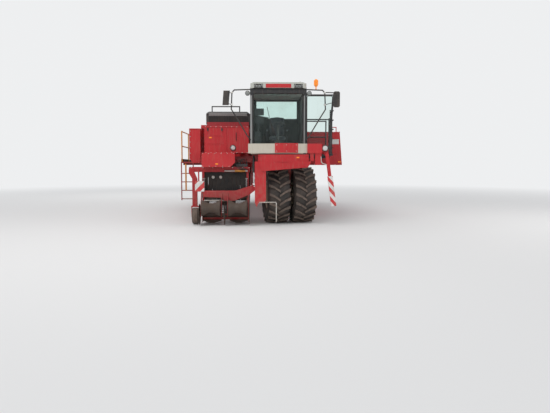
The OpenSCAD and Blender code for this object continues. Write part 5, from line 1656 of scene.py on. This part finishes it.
@dataclass
class Platforms:
    """Checker plates, toe boards, belts and small fittings of the two platforms."""

    lozenge_pitch: float = 0.042
    lozenge_turn: float = math.radians(45)
    cleat_pitch: float = 0.12
    flight_pitch: float = 0.16
    flap_pitch: float = 0.0492
    flap_count: int = 24

    def build(self) -> None:
        """Make every fitting of the platforms."""
        self._plates()
        self._belts()
        self._boards()

    def _plates(self) -> None:
        """Raised lozenges of the checker plates."""
        mat = Shape()
        mat.box((-2.606, -0.79, 1.7301), (-1.88, 2.478, 1.7314))
        mat.piece("deck_plate", DECK_BLACK, Body.MACHINE, Slot.BLACK_PAINT)
        plate = StudRow("checker_plate", Stud.LOZENGE, (0.016, 0.0045, 0.0016))
        decks = (("side_deck", 1.7312, 0.02, 0.08), ("cab_deck", 1.925, 0.02, 0.03))
        for name, top, inset_x, inset_y in decks:
            low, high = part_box(name)
            end = min(high.x, 2.146) - inset_x if name == "cab_deck" else -1.92
            x, row = low.x + inset_x + 0.02, 0
            while x < end:
                y, column = low.y + inset_y + 0.02, 0
                while y < high.y - 0.03:
                    way = self.lozenge_turn if (row + column) % 2 else -self.lozenge_turn
                    plate.at((x, y, top + 0.0008), UP, (math.cos(way), math.sin(way), 0))
                    y += self.lozenge_pitch
                    column += 1
                x += self.lozenge_pitch
                row += 1
        plate.piece(DECK_BLACK, Body.MACHINE, Slot.BLACK_PAINT)

    def _belts(self) -> None:
        """Tops and cleats of the picking belt and the cross belt, and the flaps at their mouth."""
        cleats = StudRow("belt_cleats", Stud.BAR, (0.60, 0.008, 0.006))
        y = -2.25
        while y < 1.36:
            cleats.at((-0.87, y, 2.957), UP, TO_LEFT)
            y += self.cleat_pitch
        cleats.piece(BELTING, Body.MACHINE, Slot.SHEET_RUBBER)
        belt = Shape()
        belt.box((-1.500, -2.32, 2.9505), (-0.240, 1.38, 2.9540))
        belt.box((-1.41, -2.925, 2.9745), (0.25, -2.435, 2.9780))
        belt.piece("belt_tops", BELTING, Body.MACHINE, Slot.SHEET_RUBBER)
        flights = StudRow("cross_cleats", Stud.BAR, (0.24, 0.008, 0.012))
        x = -1.38
        while x < 0.25:
            flights.at((x, -2.68, 2.984), UP, TO_REAR)
            x += self.flight_pitch
        flights.piece(BELTING, Body.MACHINE, Slot.SHEET_RUBBER)
        flaps = Shape()
        for i in range(self.flap_count):
            x = -1.445 + self.flap_pitch * i
            flaps.box((x, -2.9665, 2.905), (x + 0.040, -2.9595, 3.064))
        flaps.piece("mouth_flaps", CURTAIN, Body.MACHINE, Slot.SHEET_RUBBER, bevel=0.002)
        apron = Shape().box((-1.50, -2.968, 2.70), (-0.24, -2.9605, 2.90))
        apron.piece("mouth_apron", SHADED_RED, Body.MACHINE, Slot.RED_PAINT, bevel=0.002)
        strip = Shape().box((-1.44, -2.974, 3.092), (-0.30, -2.9605, 3.182))
        strip.piece("mouth_strip", PILLAR_GREY, Body.MACHINE, Slot.BLACK_PAINT, bevel=0.006)

    def _boards(self) -> None:
        """Toe boards, grab bar and the striped hanging board with its stay."""
        toes = Shape()
        toes.box((-2.618, -0.79, 1.7305), (-2.606, 2.49, 1.83))
        toes.box((-2.606, 2.478, 1.7305), (-1.915, 2.49, 1.83))
        toes.piece("toe_boards", DECK_BLACK, Body.MACHINE, Slot.BLACK_PAINT, bevel=0.002)
        grab = Shape()
        grab.box((-2.476, -0.884, 0.74), (-2.424, -0.8595, 1.66))
        grab.piece("ladder_grab", AMBER_PAINT, Body.MACHINE, Slot.ORANGE_PAINT, bevel=0.006)
        stay = Shape()
        bent = [(1.70, -4.9915, 1.84), (1.708, -5.002, 1.70), (1.735, -5.004, 1.665), (1.856, -5.002, 1.625)]
        stay.tube(rounded(bent, 0.03), 0.011, 10)
        stay.piece("board_stay", PALE_PAINT, Body.MACHINE, Slot.CREAM_PAINT, smooth=True)
        turn = Matrix.Translation((1.86, -4.99, 1.93)) @ Matrix.Rotation(math.radians(-7.5), 4, "Y")
        board = Shape(turn)
        board.box((-0.069, -0.0305, -1.408), (0.070, -0.0262, -0.612))
        board.box((-0.069, -0.0058, -1.408), (-0.022, -0.0025, -0.612))
        stripes = Stripes("long_board_stripes", (0.74, 0, 0.67), 0.155, 0.25)
        board.piece("long_board", stripes, Body.MACHINE, Slot.RED_PAINT, bevel=0.001)


@dataclass
class RearEnd:
    """Grille, tail lamps, tank caps and straps, and the fittings of the engine hood."""

    y1: float = 5.10
    slat_count: int = 22
    slat_pitch: float = 0.031
    strap_width: float = 0.05
    strap_y: tuple[float, ...] = (3.95, 4.60)
    hood_sides: tuple[tuple[float, int], ...] = ((-1.15, -1), (1.25, 1))

    def build(self) -> None:
        """Make every fitting of the rear end."""
        slats = StudRow("rear_slats", Stud.BAR, (0.545, 0.005, 0.002))
        for i in range(self.slat_count):
            slats.at((0.05, self.y1 - 0.004, 2.04 + self.slat_pitch * i), (0, 0.7, 0.7), TO_LEFT)
        slats.piece(BLACK, Body.MACHINE, Slot.BLACK_PAINT)
        border = Shape()
        for z in (2.015, 2.735):
            border.box((-0.54, self.y1 - 0.003, z), (0.64, self.y1 - 0.0002, z + 0.02))
        for x in (-0.54, 0.62):
            border.box((x, self.y1 - 0.003, 2.015), (x + 0.02, self.y1 - 0.0002, 2.755))
        border.piece("grille_frame", BLACK, Body.MACHINE, Slot.BLACK_PAINT)
        lamps = Shape()
        for x in (-1.02, 1.12):
            lamps.box((x - 0.09, self.y1 - 0.02, 1.92), (x + 0.09, self.y1 - 0.0005, 2.02))
        lamps.piece("tail_lamps", RED_LENS, Body.MACHINE, Slot.AMBER_PLASTIC, bevel=0.006)
        caps = Shape()
        for x in (1.35, -1.16):
            outline = [(0.06, 0.0), (0.06, 0.03), (0.045, 0.045), (0.004, 0.047)]
            caps.turned(outline, (x, 3.95, 1.799), UP, 24)
        caps.piece("tank_caps", TRIM, Body.MACHINE, Slot.BLACK_PAINT, smooth=True)
        straps = Shape()
        for y in self.strap_y:
            end = y + self.strap_width
            for low, high in ((0.6998, 1.503), (-1.303, -0.0198)):
                for z0, z1 in ((1.1165, 1.1205), (1.7995, 1.8035)):
                    straps.box((low, y, z0), (high, end, z1))
            for low, high in ((1.4995, 1.5035), (-1.3035, -1.2995)):
                straps.box((low, y, 1.18), (high, end, 1.74))
        straps.piece("tank_straps", STEEL, Body.MACHINE, Slot.BARE_STEEL)
        latches = Shape()
        for x, face in self.hood_sides:
            for y in (3.3, 4.85):
                a, b = sorted((x, x + face * 0.02))
                latches.box((a, y - 0.02, 1.93), (b, y + 0.02, 2.01))
        latches.piece("hood_latches", ZINC, Body.MACHINE, Slot.BARE_STEEL, bevel=0.003)
        self._hood()

    def _hood(self) -> None:
        """Folded frames, seams, bolts, grips, air bowl and exhaust bands of the engine hood."""
        folds = Shape()
        bolts = StudRow("hood_bolts", Stud.BOLT, (0.011, 0.011, 0.004))
        for x, face in self.hood_sides:
            a, b = sorted((x - face * 0.001, x + face * 0.010))
            for z0, z1 in ((2.09, 2.112), (2.672, 2.694)):
                folds.box((a, 3.44, z0), (b, 4.76, z1))
            for y in (3.42, 4.738):
                folds.box((a, y, 2.09), (b, y + 0.022, 2.694))
            folds.box((a, 2.965, 1.885), (b, self.y1 - 0.015, 1.905))
            folds.box((a, 3.30, 1.905), (b, 3.312, 2.82))
            bolts.line((x + face * 0.0125, 3.0, 2.78), (x + face * 0.0125, 5.0, 2.78), 9, (face, 0, 0))
        for x in (-0.42, 0.50):
            folds.box((x, 2.96, 2.949), (x + 0.020, self.y1 - 0.01, 2.958))
        folds.piece("hood_folds", RED, Body.MACHINE, Slot.RED_PAINT, bevel=0.003)
        bolts.piece(ZINC, Body.MACHINE, Slot.BARE_STEEL)
        grips = Shape()
        for x, face in self.hood_sides:
            out = x + face * 0.05
            for y in (3.36, 4.86):
                grip = [(x, y, 2.38), (out, y, 2.38), (out, y, 2.54), (x, y, 2.54)]
                grips.tube(rounded(grip, 0.02), 0.009, 8)
        grips.piece("hood_grips", BLACK, Body.MACHINE, Slot.BLACK_PAINT, smooth=True)
        bowl = Shape()
        outline = [(0.055, -0.001), (0.055, 0.09), (0.10, 0.10), (0.105, 0.21),
                   (0.085, 0.25), (0.02, 0.262), (0.004, 0.263)]
        bowl.turned(outline, (0.72, 3.45, 2.949), UP, 36)
        bowl.piece("air_bowl", TRIM, Body.MACHINE, Slot.BLACK_PAINT, smooth=True)
        band = Shape()
        for z in (2.99, 3.36):
            band.ring(0.0955, 0.005, (-0.50, 3.30, z), UP, 48)
        band.ring(0.0505, 0.004, (-0.50, 3.30, 3.72), UP, 36)
        band.piece("exhaust_bands", SOOT, Body.MACHINE, Slot.BARE_STEEL, smooth=True)


@dataclass
class Chassis:
    """Pipes, clips and bolts on the frame."""

    beam_x: float = 0.6998
    pipe_x: tuple[float, ...] = (0.722, 0.742, 0.762)
    bolt_x: float = 0.7055

    def build(self) -> None:
        """Make every fitting of the frame."""
        pipes = Shape()
        for i, x in enumerate(self.pipe_x):
            z = 1.80 - 0.03 * i
            route = [(x, -2.5, z), (x, 2.9, z), (x - 0.03, 3.2, z), (x - 0.03, 3.74, z)]
            pipes.tube(rounded(route, 0.05), 0.0085, 8)
        pipes.piece("frame_pipes", STEEL, Body.MACHINE, Slot.BARE_STEEL, smooth=True)
        clips = Shape()
        for y in (-2.3, -1.3, -0.3, 0.7, 1.7, 2.7):
            clips.box((self.beam_x, y, 1.72), (0.775, y + 0.03, 1.83))
        clips.piece("pipe_clips", TRIM, Body.MACHINE, Slot.BLACK_PAINT, bevel=0.002)
        bolts = StudRow("frame_bolts", Stud.BOLT, (0.014, 0.014, 0.006))
        for y in (-2.74, -0.84, 1.26):
            for z in (1.735, 1.825):
                bolts.at((self.bolt_x, y, z), TO_LEFT)
        bolts.piece(ZINC, Body.MACHINE, Slot.BARE_STEEL)


def main() -> None:
    """Build the scene in order."""
    logging.basicConfig(level=logging.INFO, format="%(name)s: %(message)s")
    Studio().build()
    NodeFinishes().build()
    for assembly in (Cab, CabDoor, CabInside, Bumper, RunningGear, Digger, Housings, Bunker,
                     Platforms, RearEnd, Chassis):
        log.info("%s", assembly.__name__)
        assembly().build()


if __name__ == "__main__":
    main()
